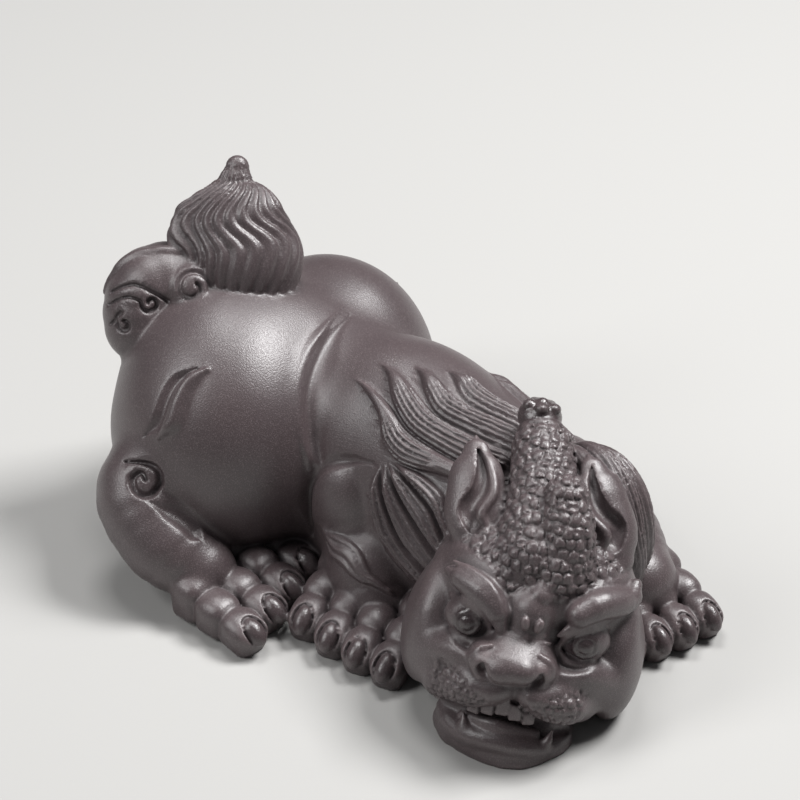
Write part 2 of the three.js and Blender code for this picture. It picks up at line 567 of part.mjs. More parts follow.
// Horn: a thick stem that leans back over the neck to a knob, with a round-topped lobe in front
function horn() {
  const mass = new Mass(1);
  mass.add(limb(head, [[0, 6, 15], [1.2, -1, 24], [3, -8, 29.8], [4.6, -13.5, 33.4]],
    [hornRadius * 1.25, hornRadius * 0.98, hornRadius * 0.84, hornRadius * 0.66]), 2);
  mass.add(limb(head, [[-4, 9, 13.5], [-4, 7.4, 21], [-2.6, 4.6, 27.2]],
    [hornRadius * 0.95, hornRadius * 0.78, hornRadius * 0.6]), 0.4);
  mass.add(egg(head, [4.8, -13.6, 34.8], [3.9, 3.9, 3.4]), 0.4);
  return mass;
}

// A pointed ear on a base: a deep hollow along one side, and a smooth fold that curls round at its foot
function ear(base, tip, facing, side) {
  const mass = new Mass(0.6);
  const origin = vec(...base).applyMatrix4(head).toArray();
  const along = vec(...tip).sub(vec(...base)).transformDirection(head).toArray();
  const front = vec(...facing).transformDirection(head).toArray();
  const leaf = frameAt(origin, along, front);
  const l = earLength;
  const w = earWidth;
  mass.add(limb(leaf, [[0, 0, 0], [0, l * 0.3, 0.3], [0, l * 0.65, 0.5], [0, l, 0]],
    [w * 0.36, w * 0.5, w * 0.36, w * 0.05], 0.55, 12), 0.5);
  mass.cut(limb(leaf, [[side * w * 0.08, l * 0.16, w * 0.28], [side * w * 0.24, l * 0.4, w * 0.3],
    [side * w * 0.06, l * 0.85, w * 0.2]], [w * 0.12, w * 0.16, w * 0.04]), 0.4);
  mass.cut(egg(leaf, [side * w * 0.02, l * 0.17, w * 0.3], [w * 0.15, w * 0.14, w * 0.24]), 0.3);
  mass.add(limb(leaf, [[side * w * -0.02, l * 0.02, w * 0.14], [side * w * -0.26, l * 0.12, w * 0.2],
    [side * w * -0.2, l * 0.4, w * 0.24], [0, l * 0.9, w * 0.1]], [w * 0.1, w * 0.14, w * 0.14, w * 0.04]), 0.5);
  return mass;
}

// Tail: a thick roll from the rump over to the tuft; each groove sweeps in from its outer edge and winds in a curl
function tail() {
  const mass = new Mass(1);
  mass.add(limb(world, [[-15.4, 54, 38.6], [-15, 57.3, 45.2], [-10.6, 57.4, 50.4], [-5, 52, 51.4], [0, 44, 52]],
    [6, 7.8, 8.6, 7.8, 6.5]), 2);
  const sweeps = [
    [[-19.1, 61.1, 52.5], [-17.6, 56.5, 55.2], [-16.1, 51.7, 53.7], [-13.7, 49.4, 50.9], [-10.1, 46.2, 50.7],
      [-7.9, 44.2, 53.6], [-7.5, 46.3, 56.8], [-9, 49.2, 57.4], [-11.3, 49.7, 56.1], [-11.7, 48.5, 54.2],
      [-10.4, 47.3, 54.2]],
    [[-20.4, 61.1, 50.1], [-19.5, 56.9, 53], [-18.8, 53.9, 52.4], [-18.3, 52.4, 50.8], [-17.1, 51.4, 51],
      [-16.1, 51.5, 52.8], [-17, 53, 53.7], [-18.3, 53.3, 52.5]],
    [[-22, 59.4, 46.9], [-21.4, 57.2, 49.7], [-20.6, 55.2, 50.5], [-21, 54.5, 48.7], [-22.3, 55.4, 46.6],
      [-22.2, 57.5, 47.2]],
  ];
  for (const sweep of sweeps) {
    mass.carve(groove(mass, sweep, curlWidth * 0.85, curlDepth, [0.5, 1, 1, 0.8], 40));
  }
  mass.carve(ridge(mass, [[-17, 64, 50], [-12.5, 60, 56.4], [-8, 54, 58.4], [-4, 48, 58]],
    curlWidth * 1.2, curlDepth * 0.6));
  return mass;
}

// Partings that run up a bud and meet at its tip, evenly around it
function strandsAround(frame, count, flat, depth) {
  const e = frame.clone().invert().elements;
  return {
    middle: vec(0, 0, 0).setFromMatrixPosition(frame),
    reach: 40,
    height(x, y, z) {
      const lx = e[0] * x + e[4] * y + e[8] * z + e[12];
      const ly = e[1] * x + e[5] * y + e[9] * z + e[13];
      const lz = (e[2] * x + e[6] * y + e[10] * z + e[14]) / flat;
      const axis = mix(-2.6, 2.6, ease(2, 17, ly));
      const sweep = 0.035 * Math.sin(0.32 * (ly + 6)) + 0.012 * Math.sin(0.55 * ly);
      const around = Math.atan2(lz, lx - axis) / (2 * Math.PI) + sweep;
      const fade = ease(0.8, 4, Math.hypot(lx - axis, lz));
      return -depth * fade * (0.5 + 0.5 * Math.cos(2 * Math.PI * count * around));
    },
  };
}

// Tuft: a flame-shaped bud of hair standing on the end of the tail
const tuftFrame = frameAt([1.4, 43.8, 57.6], [0.47 * 0.57, 0.57 * 0.67, 0.82], [-0.7, -0.5, 0.5]);
function tuft() {
  const mass = new Mass(0.5);
  const w = tuftWidth / 2;
  const flat = tuftDepth / tuftWidth;
  mass.add(limb(tuftFrame, [[0.8, -6.5, 0], [0.8, -2, 0], [0.2, 4, 0], [0, 9.5, 0], [1.3, 13.8, 0], [2.4, 17.7, 0]],
    [w * 0.7, w * 0.98, w * 0.85, w * 0.42, w * 0.25, w * 0.15], flat, 14), 1);
  mass.add(limb(tuftFrame, [[-5.5, -5, 0], [-9.4, 2, 0], [-8.6, 7.6, 0], [-2.4, 12, 0]],
    [w * 0.36, w * 0.42, w * 0.36, w * 0.14], flat), 3);
  mass.carve(strandsAround(tuftFrame, tuftStrands, flat, strandDepth));
  return mass;
}

const body = trunk();
carveMane(body);
carveHaunches(body);
const masses = [
  body,
  paw([-43, 10.6, 0], [-19, 15, 0], [-0.12, -1, 0]),
  paw([-32.6, 3.2, 0], [-35.2, -18.5, 0], [-0.97, -0.2, 0]),
  paw([-4, -53.4, 0], [13.5, -60.8, 0], [-0.4, -0.92, 0]),
  paw([19.5, 13.5, 0], [43, 11, 0], [0.1, -1, 0]),
  headMass(),
  horn(),
  ear([12, 3, 14.5], [15.5, -6.6, 28.7], [0.2, 0.85, 0.45], 1),
  ear([-13.5, 2, 16], [-6.4, -6.5, 30.4], [-0.35, 0.85, 0.3], -1),
  tail(),
  tuft(),
];

for (const mass of masses) mass.close();

function figureField(x, y, z) {
  let d = 1e3;
  for (const mass of masses) {
    const gap = length3(x - mass.middle.x, y - mass.middle.y, z - mass.middle.z) - mass.reach;
    if (gap < d + mass.blend) d = join(d, mass.distance(x, y, z), mass.blend);
  }
  return Math.max(d, -z);
}

// Grid around the drawn figure; the ground lies midway between two layers
function sampleGrid(field, pitch) {
  const room = 9;
  const low = [-(figureWidth / 2 + room), -(figureLength / 2 + room), -1.5 * pitch];
  const count = [-2 * low[0], -2 * low[1], figureHeight + room].map((side) => Math.ceil(side / pitch));
  const [nx, ny, nz] = count;
  const values = new Float32Array(nx * ny * nz);
  const cube = 4;
  for (let k = 0; k < nz; k += cube) {
    for (let j = 0; j < ny; j += cube) {
      for (let i = 0; i < nx; i += cube) {
        const half = ((cube - 1) / 2) * pitch;
        const centre = field(low[0] + i * pitch + half, low[1] + j * pitch + half, low[2] + k * pitch + half);
        const far = Math.abs(centre) > half * 1.75 * 1.6 + pitch * 2;
        for (let c = k; c < Math.min(nz, k + cube); c += 1) {
          for (let b = j; b < Math.min(ny, j + cube); b += 1) {
            for (let a = i; a < Math.min(nx, i + cube); a += 1) {
              const at = a + nx * (b + ny * c);
              values[at] = far ? centre : field(low[0] + a * pitch, low[1] + b * pitch, low[2] + c * pitch);
            }
          }
        }
      }
    }
  }
  return { low, count, pitch, values };
}

// Fills sealed pockets: whatever is open but can't be reached from outside becomes clay
function fillPockets({ count, values }) {
  const [nx, ny, nz] = count;
  const open = new Uint8Array(values.length);
  const stack = [0];
  open[0] = 1;
  while (stack.length > 0) {
    const at = stack.pop();
    const a = at % nx;
    const b = Math.floor(at / nx) % ny;
    const c = Math.floor(at / (nx * ny));
    const near = [];
    if (a > 0) near.push(at - 1);
    if (a < nx - 1) near.push(at + 1);
    if (b > 0) near.push(at - nx);
    if (b < ny - 1) near.push(at + nx);
    if (c > 0) near.push(at - nx * ny);
    if (c < nz - 1) near.push(at + nx * ny);
    for (const next of near) {
      if (!open[next] && values[next] > 0) {
        open[next] = 1;
        stack.push(next);
      }
    }
  }
  for (let i = 0; i < values.length; i += 1) if (values[i] > 0 && !open[i]) values[i] = -0.01;
}

// The corners of a grid cell and its edges
const corners = [0, 1, 2, 3, 4, 5, 6, 7].map((n) => [n & 1, (n >> 1) & 1, (n >> 2) & 1]);
const cellEdges = [];
for (let a = 0; a < 8; a += 1) for (const bit of [1, 2, 4]) if (!(a & bit)) cellEdges.push([a, a | bit]);

// Whether the corners inside, and the corners outside, each hang together along the cell's edges
function hangsTogether(code) {
  for (const want of [1, 0]) {
    const group = corners.map((_, n) => n);
    for (let pass = 0; pass < 4; pass += 1) {
      for (const [a, b] of cellEdges) {
        if (((code >> a) & 1) === want && ((code >> b) & 1) === want) {
          group[a] = Math.min(group[a], group[b]);
          group[b] = group[a];
        }
      }
    }
    const kinds = new Set(group.filter((_, n) => ((code >> n) & 1) === want));
    if (kinds.size > 1) return false;
  }
  return true;
}
const simpleCell = [];
for (let code = 0; code < 256; code += 1) simpleCell.push(hangsTogether(code));

// Fills the corners where the skin would touch itself at a point or along an edge
function closePinches({ count, values }) {
  const [nx, ny, nz] = count;
  const offsets = corners.map(([a, b, c]) => a + nx * (b + ny * c));
  for (let changed = true; changed;) {
    changed = false;
    for (let c = 0; c < nz - 1; c += 1) {
      for (let b = 0; b < ny - 1; b += 1) {
        for (let a = 0; a < nx - 1; a += 1) {
          const at = a + nx * (b + ny * c);
          let code = 0;
          for (let n = 0; n < 8; n += 1) if (values[at + offsets[n]] < 0) code |= 1 << n;
          if (simpleCell[code]) continue;
          let nearest = -1;
          for (let n = 0; n < 8; n += 1) {
            const v = values[at + offsets[n]];
            if (v >= 0 && c + corners[n][2] > 1 && (nearest < 0 || v < values[at + offsets[nearest]])) nearest = n;
          }
          if (nearest < 0) continue;
          values[at + offsets[nearest]] = -0.02;
          changed = true;
        }
      }
    }
  }
}

// One vertex in each cell that the surface passes through, and a square across each grid edge that crosses it
function netOver({ low, count, pitch, values }) {
  const [nx, ny] = count;
  const offsets = corners.map(([a, b, c]) => a + nx * (b + ny * c));
  const vertexOf = new Int32Array(values.length).fill(-1);
  const positions = [];
  const nz = count[2];
  for (let c = 0; c < nz - 1; c += 1) {
    for (let b = 0; b < ny - 1; b += 1) {
      for (let a = 0; a < nx - 1; a += 1) {
        const at = a + nx * (b + ny * c);
        const first = values[at] < 0;
        let crossed = false;
        for (let n = 1; n < 8 && !crossed; n += 1) crossed = values[at + offsets[n]] < 0 !== first;
        if (!crossed) continue;
        const sum = [0, 0, 0];
        let crossings = 0;
        for (const [m, n] of cellEdges) {
          const vm = values[at + offsets[m]];
          const vn = values[at + offsets[n]];
          if (vm < 0 === vn < 0) continue;
          const t = vm / (vm - vn);
          for (let k = 0; k < 3; k += 1) sum[k] += mix(corners[m][k], corners[n][k], t);
          crossings += 1;
        }
        vertexOf[at] = positions.length / 3;
        const cell = [a, b, c];
        for (let k = 0; k < 3; k += 1) positions.push(low[k] + (cell[k] + sum[k] / crossings) * pitch);
      }
    }
  }
  const triangles = [];
  const step = [1, nx, nx * ny];
  for (let c = 1; c < nz - 1; c += 1) {
    for (let b = 1; b < ny - 1; b += 1) {
      for (let a = 1; a < nx - 1; a += 1) {
        const at = a + nx * (b + ny * c);
        for (let k = 0; k < 3; k += 1) {
          const inside = values[at] < 0;
          if (inside === values[at + step[k]] < 0) continue;
          const u = step[(k + 1) % 3];
          const v = step[(k + 2) % 3];
          const ring = [vertexOf[at], vertexOf[at - u], vertexOf[at - u - v], vertexOf[at - v]];
          if (!inside) ring.reverse();
          triangles.push(ring[0], ring[1], ring[2], ring[0], ring[2], ring[3]);
        }
      }
    }
  }
  return { positions: Float64Array.from(positions), triangles: Uint32Array.from(triangles) };
}

// Draws each vertex onto the surface itself; those of the underside stay on the ground
function drawToSurface(field, { positions }, pitch) {
  const e = 0.05;
  for (let i = 0; i < positions.length; i += 3) {
    const flat = positions[i + 2] < pitch * 0.3;
    if (flat) positions[i + 2] = 0;
    const probe = flat ? (x, y) => field(x, y, 0.02) : field;
    for (let pass = 0; pass < 3; pass += 1) {
      const [x, y, z] = positions.subarray(i, i + 3);
      const d = probe(x, y, z);
      if (flat && d < -0.5 * pitch) break;
      const g = [
        (probe(x + e, y, z) - probe(x - e, y, z)) / (2 * e),
        (probe(x, y + e, z) - probe(x, y - e, z)) / (2 * e),
        flat ? 0 : (probe(x, y, z + e) - probe(x, y, z - e)) / (2 * e),
      ];
      const slope = Math.max(0.3, g[0] * g[0] + g[1] * g[1] + g[2] * g[2]);
      const move = clamp(-d / slope, -0.35 * pitch, 0.35 * pitch);
      for (let k = 0; k < 3; k += 1) positions[i + k] += move * g[k];
    }
    if (!flat) positions[i + 2] = Math.max(positions[i + 2], 0.08);
  }
}

// The whole skin of a field at a given pitch
function skin(field, pitch) {
  const grid = sampleGrid(field, pitch);
  fillPockets(grid);
  closePinches(grid);
  const net = netOver(grid);
  drawToSurface(field, net, pitch);
  return net;
}

// A queue that gives back the cheapest entry first
class Queue {
  constructor() {
    this.entries = [];
  }

  push(entry) {
    const { entries } = this;
    let at = entries.push(entry) - 1;
    while (at > 0) {
      const up = (at - 1) >> 1;
      if (entries[up].cost <= entry.cost) break;
      entries[at] = entries[up];
      at = up;
    }
    entries[at] = entry;
  }

  pop() {
    const { entries } = this;
    const first = entries[0];
    const last = entries.pop();
    if (entries.length === 0) return first;
    let at = 0;
    for (let down = 1; down < entries.length; down = 2 * at + 1) {
      if (down + 1 < entries.length && entries[down + 1].cost < entries[down].cost) down += 1;
      if (last.cost <= entries[down].cost) break;
      entries[at] = entries[down];
      at = down;
    }
    entries[at] = last;
    return first;
  }
}

const faceMiddle = vec(0, 14, -4).applyMatrix4(head);

// A net that can be thinned: each merge replaces an edge by the point that stays closest to the planes around it
class ThinNet {
  constructor({ positions, triangles }) {
    const count = positions.length / 3;
    this.places = Array.from({ length: count }, (_, v) => vec(...positions.subarray(3 * v, 3 * v + 3)));
    this.faces = [];
    for (let f = 0; f < triangles.length; f += 3) this.faces.push([triangles[f], triangles[f + 1], triangles[f + 2]]);
    this.around = this.places.map(() => []);
    this.age = new Int32Array(count);
    this.errors = this.places.map(() => new Float64Array(10));
    this.faces.forEach((face, f) => {
      for (const v of face) this.around[v].push(f);
      this.addPlane(face);
    });
    this.left = this.faces.length;
  }

  care(place) {
    return mix(faceCare, 1, ease(14, 26, place.distanceTo(faceMiddle)));
  }

  normal([a, b, c]) {
    return this.places[b].clone().sub(this.places[a]).cross(this.places[c].clone().sub(this.places[a]));
  }

  // Squared distances to the plane of a face, weighted by its area, as a quadratic form in ten numbers
  addPlane(face) {
    const n = this.normal(face);
    const area = (n.length() / 2) * this.care(this.places[face[0]]);
    n.normalize();
    const d = -n.dot(this.places[face[0]]);
    const p = [n.x, n.y, n.z, d];
    for (const v of face) {
      let k = 0;
      for (let i = 0; i < 4; i += 1) {
        for (let j = i; j < 4; j += 1) {
          this.errors[v][k] += area * p[i] * p[j];
          k += 1;
        }
      }
    }
  }

  neighbours(v) {
    return new Set(this.around[v].flatMap((f) => this.faces[f]).filter((w) => w !== v));
  }

  error(e, { x, y, z }) {
    return e[0] * x * x + e[4] * y * y + e[7] * z * z + e[9]
      + 2 * (e[1] * x * y + e[2] * x * z + e[3] * x + e[5] * y * z + e[6] * y + e[8] * z);
  }

  // The best place for the merged end points, and what the merge costs
  merge(a, b) {
    const e = this.errors[a].map((v, k) => v + this.errors[b][k]);
    const pa = this.places[a];
    const pb = this.places[b];
    const length = pa.distanceTo(pb);
    const choices = [pa, pb, pa.clone().lerp(pb, 0.5)];
    const form = new THREE.Matrix3().set(e[0], e[1], e[2], e[1], e[4], e[5], e[2], e[5], e[7]);
    const grounded = pa.z === 0 || pb.z === 0;
    const size = Math.cbrt(Math.abs(form.determinant()));
    if (!grounded && size > 1e-3 * (e[0] + e[4] + e[7])) {
      const best = vec(-e[3], -e[6], -e[8]).applyMatrix3(form.invert());
      if (best.distanceTo(choices[2]) < length) choices.unshift(best);
    }
    const usable = grounded ? choices.filter((p) => p.z === 0) : choices;
    const costs = usable.map((p) => this.error(e, p));
    const k = costs.indexOf(Math.min(...costs));
    const cost = Math.max(0, costs[k]) + 1e-3 * length ** 3;
    return { a, b, e, place: usable[k], cost, ages: [this.age[a], this.age[b]] };
  }

  // Whether moving a vertex would turn a face over or make it a sliver
  spoils(v, other, place) {
    const old = this.places[v];
    for (const f of this.around[v]) {
      if (this.faces[f].includes(other)) continue;
      const before = this.normal(this.faces[f]);
      this.places[v] = place;
      const after = this.normal(this.faces[f]);
      const [a, b, c] = this.faces[f].map((w) => this.places[w]);
      const longest = Math.max(a.distanceTo(b), b.distanceTo(c), c.distanceTo(a));
      this.places[v] = old;
      if (before.dot(after) < 0.25 * before.length() * after.length()) return true;
      if (after.length() < 0.12 * longest * longest) return true;
    }
    return false;
  }

  thin(target) {
    const queue = new Queue();
    for (const [v] of this.places.entries()) {
      for (const w of this.neighbours(v)) if (v < w) queue.push(this.merge(v, w));
    }
    while (this.left > target && queue.entries.length > 0) {
      const { a, b, e, place, ages } = queue.pop();
      if (this.age[a] !== ages[0] || this.age[b] !== ages[1]) continue;
      const nearA = this.neighbours(a);
      const shared = [...this.neighbours(b)].filter((w) => nearA.has(w));
      if (shared.length !== 2 || this.spoils(a, b, place) || this.spoils(b, a, place)) continue;
      this.places[a] = place;
      this.errors[a] = e;
      this.age[a] += 1;
      this.age[b] = -1;
      for (const f of this.around[b]) {
        if (this.faces[f].includes(a)) {
          for (const w of this.faces[f]) if (w !== b) this.around[w] = this.around[w].filter((g) => g !== f);
          this.faces[f] = null;
          this.left -= 1;
        } else {
          this.faces[f] = this.faces[f].map((w) => (w === b ? a : w));
          this.around[a].push(f);
        }
      }
      this.around[b] = [];
      for (const w of this.neighbours(a)) queue.push(this.merge(a, w));
    }
  }

  geometry() {
    const slots = new Map();
    const positions = [];
    const index = [];
    for (const v of this.faces.filter(Boolean).flat()) {
      if (!slots.has(v)) {
        slots.set(v, slots.size);
        positions.push(...this.places[v].toArray());
      }
      index.push(slots.get(v));
    }
    const geometry = new THREE.BufferGeometry();
    geometry.setAttribute('position', new THREE.Float32BufferAttribute(positions, 3));
    geometry.setIndex(index);
    return geometry;
  }
}

// Spreads the drawn figure to the named width, length and height, over the middle of its underside
function fitToSize(geometry) {
  geometry.computeBoundingBox();
  const { min, max } = geometry.boundingBox;
  const drawn = max.clone().sub(min);
  geometry.translate(-(min.x + max.x) / 2, -(min.y + max.y) / 2, -min.z);
  geometry.scale(figureWidth / drawn.x, figureLength / drawn.y, figureHeight / drawn.z);
  return geometry;
}

// Unglazed dark purple-brown clay, rubbed to a low shine
function clay() {
  return new THREE.MeshStandardMaterial({ name: 'dark_clay', color: 0x4a3c3f, roughness: 0.45, metalness: 0 });
}

const net = new ThinNet(skin(figureField, gridPitch));
net.thin(trianglesKept);
const figure = new THREE.Mesh(fitToSize(net.geometry()), clay());
figure.name = 'pixiu_figure';

const part = new THREE.Group();
part.add(figure);
export default part;
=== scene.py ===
import bpy
import json
import numpy as np
from math import ceil, cos, pi, radians, sin, sqrt
from mathutils import Matrix, Vector

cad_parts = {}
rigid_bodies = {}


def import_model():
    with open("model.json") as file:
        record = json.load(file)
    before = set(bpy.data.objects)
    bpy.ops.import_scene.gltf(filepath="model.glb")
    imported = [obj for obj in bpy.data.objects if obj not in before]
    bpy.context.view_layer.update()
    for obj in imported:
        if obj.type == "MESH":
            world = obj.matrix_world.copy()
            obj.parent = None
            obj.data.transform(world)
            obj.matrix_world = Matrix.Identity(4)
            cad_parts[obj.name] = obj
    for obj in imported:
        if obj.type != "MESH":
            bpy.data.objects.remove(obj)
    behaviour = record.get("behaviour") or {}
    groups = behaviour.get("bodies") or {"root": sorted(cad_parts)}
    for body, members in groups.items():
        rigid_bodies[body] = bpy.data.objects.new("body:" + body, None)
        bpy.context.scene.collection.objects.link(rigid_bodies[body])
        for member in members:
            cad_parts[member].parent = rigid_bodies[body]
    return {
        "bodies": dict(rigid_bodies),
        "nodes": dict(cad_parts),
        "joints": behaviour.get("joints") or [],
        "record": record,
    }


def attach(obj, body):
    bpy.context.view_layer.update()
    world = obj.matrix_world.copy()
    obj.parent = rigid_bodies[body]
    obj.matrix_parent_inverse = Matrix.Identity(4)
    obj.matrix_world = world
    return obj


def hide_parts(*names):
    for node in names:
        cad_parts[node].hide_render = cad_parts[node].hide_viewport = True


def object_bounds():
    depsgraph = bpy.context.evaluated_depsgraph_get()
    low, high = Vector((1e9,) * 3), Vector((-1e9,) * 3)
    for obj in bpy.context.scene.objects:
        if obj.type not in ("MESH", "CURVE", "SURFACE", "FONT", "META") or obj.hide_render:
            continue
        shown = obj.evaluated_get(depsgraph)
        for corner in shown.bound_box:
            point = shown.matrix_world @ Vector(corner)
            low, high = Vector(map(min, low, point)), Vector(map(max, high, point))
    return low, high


# A crouching pixiu in fired clay, sculpted from soft forms on a fine grid, then thinned to one skin.
# The sculpting is done in millimetres: x across the haunches, y from the forepaws to the rump, z up.

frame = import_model()
cadLow, cadHigh = [np.array(v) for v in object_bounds()]
print("frame loaded", cadLow, cadHigh)


# Small helpers

def unit(v):
    v = np.asarray(v, float)
    return v / np.linalg.norm(v)


def mix(a, b, t):
    return a + (b - a) * t


def ease(a, b, v):
    t = np.clip((v - a) / (b - a), 0, 1)
    return t * t * (3 - 2 * t)


def matrixOf(x, y, z, origin):
    m = np.eye(4)
    m[:3] = np.stack([x, y, z, origin], 1)
    return m


def frameAt(origin, forward, up):
    y = unit(forward)
    x = unit(np.cross(y, up))
    return matrixOf(x, y, np.cross(x, y), origin)


def placeIn(frame, centre, turn):
    a, b, c = [radians(v) for v in turn]
    m = np.array(Matrix.Rotation(a, 4, "X") @ Matrix.Rotation(b, 4, "Y") @ Matrix.Rotation(c, 4, "Z"))
    m[:3, 3] = centre
    return frame @ m


def inLocal(matrix, p):
    inv = np.linalg.inv(matrix).astype(np.float32)
    return p @ inv[:3, :3].T + inv[:3, 3]


def inWorld(matrix, p):
    return np.asarray(p, float) @ matrix[:3, :3].T + matrix[:3, 3]


def lengths(v):
    return np.sqrt((v * v).sum(axis=-1))


def units(v):
    return v / (lengths(v)[:, None] + 1e-9)


def filled(p, value=0):
    return np.full(len(p), value, np.float32)


def cubeOf(n):
    return np.stack(np.meshgrid(range(n), range(n), range(n), indexing="ij"), -1).reshape(-1, 3)


world = np.eye(4)
farOff = 1e3         # mm, the distance before any form is met
reliefReach = 3.5    # mm from the plain surface within which relief is worked out


# Forms: each has a middle, a reach and a distance

class Egg:
    def __init__(self, frame, centre, radii, turn=(0, 0, 0)):
        self.placed = placeIn(frame, centre, turn)
        self.radii = np.array(radii, np.float32)
        self.middle = self.placed[:3, 3]
        self.reach = max(radii) * 1.05 + 0.5

    def distance(self, p):
        q = inLocal(self.placed, p) / self.radii
        k0 = lengths(q)
        k1 = lengths(q / self.radii) + 1e-9
        return k0 * (k0 - 1) / k1


class Block:
    def __init__(self, frame, centre, halves, roundness, turn=(0, 0, 0)):
        self.placed = placeIn(frame, centre, turn)
        self.halves = np.array(halves, np.float32) - roundness
        self.roundness = roundness
        self.middle = self.placed[:3, 3]
        self.reach = sqrt(sum(h * h for h in halves)) + 0.5

    def distance(self, p):
        q = np.abs(inLocal(self.placed, p)) - self.halves
        return lengths(np.maximum(q, 0)) + np.minimum(q.max(axis=-1), 0) - self.roundness


def curvePoint(points, t):
    # a smooth curve through the points, without loops
    last = len(points) - 1
    k = min(last - 1, int(last * t))
    w = last * t - k
    p1, p2 = points[k], points[k + 1]
    p0 = points[k - 1] if k > 0 else 2 * p1 - p2
    p3 = points[k + 2] if k + 2 <= last else 2 * p2 - p1
    d0, d1, d2 = [max(1e-3, sqrt(np.linalg.norm(b - a))) for a, b in ((p0, p1), (p1, p2), (p2, p3))]
    m1 = ((p1 - p0) / d0 - (p2 - p0) / (d0 + d1) + (p2 - p1) / d1) * d1
    m2 = ((p2 - p1) / d1 - (p3 - p1) / (d1 + d2) + (p3 - p2) / d2) * d1
    return p1 + m1 * w + (-3 * p1 + 3 * p2 - 2 * m1 - m2) * w ** 2 + (2 * p1 - 2 * p2 + m1 + m2) * w ** 3


def trace(points, radii, steps):
    points = np.asarray(points, float)
    ts = np.linspace(0, 1, steps + 1)
    places = np.array([curvePoint(points, t) for t in ts])
    at = ts * (len(radii) - 1)
    k = np.minimum(len(radii) - 2, at.astype(int))
    r = np.asarray(radii, float)
    return places, mix(r[k], r[k + 1], ease(0, 1, at - k)), ts


def ballAround(points, margin):
    middle = (points.min(axis=0) + points.max(axis=0)) / 2
    return middle, lengths(points - middle).max() + margin


class Limb:
    def __init__(self, frame, points, radii, squash=1.0, steps=10):
        places, self.r, _ = trace(points, radii, steps)
        self.middle, self.reach = ballAround(inWorld(frame, places), max(radii) + 0.3)
        self.frame, self.squash = frame, squash
        self.q = places / np.array([1, 1, squash])

    def distance(self, p):
        q = inLocal(self.frame, p)
        q[:, 2] /= self.squash
        best = filled(p, farOff)
        for a, b, ra, rb in zip(self.q, self.q[1:], self.r, self.r[1:]):
            a, d = a.astype(np.float32), (b - a).astype(np.float32)
            o = q - a
            t = np.clip(o @ d / (d @ d + 1e-9), 0, 1)
            np.minimum(best, lengths(o - t[:, None] * d) - (ra + (rb - ra) * t), out=best)
        return best * sqrt(self.squash)


def gapTo(form, p):
    return lengths(p - form.middle.astype(np.float32)) - form.reach


def join(d, e, blend):
    h = np.maximum(blend - np.abs(d - e), 0) / blend
    return np.minimum(d, e) - h * h * blend / 4


def hollow(d, e, blend):
    return -join(-d, e, blend)


# One mass of clay: forms added and hollowed in turn, then relief on its surface

class Mass:
    def __init__(self, blend, frame=world):
        self.blend, self.frame = blend, frame
        self.steps, self.relief = [], []

    def add(self, form, blend):
        self.steps.append((form, blend, False))

    def limb(self, blend, *shape, **more):
        self.add(Limb(self.frame, *shape, **more), blend)

    def egg(self, blend, *shape):
        self.add(Egg(self.frame, *shape), blend)

    def cut(self, form, blend):
        self.steps.append((form, blend, True))

    def carve(self, mark):
        self.relief.append(mark)

    def close(self):
        added = [form for form, _, isCut in self.steps if not isCut]
        corners = [f.middle + s * f.reach for f in added for s in (-1, 1)]
        self.middle = (np.min(corners, axis=0) + np.max(corners, axis=0)) / 2
        self.reach = max(np.linalg.norm(f.middle - self.middle) + f.reach for f in added) + 2

    def plain(self, p):
        d = filled(p, farOff)
        for form, blend, isCut in self.steps:
            gap = gapTo(form, p)
            near = np.flatnonzero(gap < (blend - d if isCut else d + blend))
            if len(near):
                e = form.distance(p[near])
                d[near] = hollow(d[near], e, blend) if isCut else join(d[near], e, blend)
        return d

    def distance(self, p):
        d = self.plain(p)
        close = np.flatnonzero(np.abs(d) < reliefReach)
        if len(close) and self.relief:
            q = p[close]
            raised, sunk = filled(q), filled(q)
            for mark in self.relief:
                here = np.flatnonzero(gapTo(mark, q) < 0)
                if len(here):
                    h = mark.height(q[here]).astype(np.float32)
                    raised[here] = np.maximum(raised[here], h)
                    sunk[here] = np.minimum(sunk[here], h)
            d[close] -= raised + sunk
        return d

    def settle(self, points):
        # slides the points onto the plain surface, and gives its normals there
        q = np.array(points, np.float32)
        nudge = 0.1
        n = np.zeros_like(q)
        for _ in range(8):
            d = self.plain(q)
            for axis in range(3):
                step = np.zeros(3, np.float32)
                step[axis] = nudge
                n[:, axis] = self.plain(q + step) - self.plain(q - step)
            n = units(n)
            q = q - d[:, None] * n
        return q, n


# A line drawn on the surface of a mass

class Line:
    def __init__(self, mass, points, widths, steps):
        places, self.r, self.t = trace(points, widths, steps)
        self.p, self.n = mass.settle(places)
        longer = np.concatenate([self.p[:1], self.p, self.p[-1:]])
        self.along = units(longer[2:] - longer[:-2])
        self.across = units(np.cross(self.along, self.n))

    def measure(self, p):
        best = filled(p, np.inf)
        t, u, v, r, beyond = [filled(p) for _ in range(5)]
        for i in range(len(self.p) - 1):
            a, b = self.p[i], self.p[i + 1]
            d = b - a
            k = np.clip((p - a) @ d / (d @ d + 1e-9), 0, 1)
            o = p - a - k[:, None] * d
            away = (o * o).sum(axis=1)
            won = away < best
            k, o = k[won], o[won]
            best[won] = away[won]
            t[won] = mix(self.t[i], self.t[i + 1], k)
            r[won] = mix(self.r[i], self.r[i + 1], k)
            u[won] = (o * mix(self.across[i], self.across[i + 1], k[:, None])).sum(axis=1)
            v[won] = (o * mix(self.n[i], self.n[i + 1], k[:, None])).sum(axis=1)
            beyond[won] = np.abs(o @ self.along[i])
        return t, u, v, r, beyond


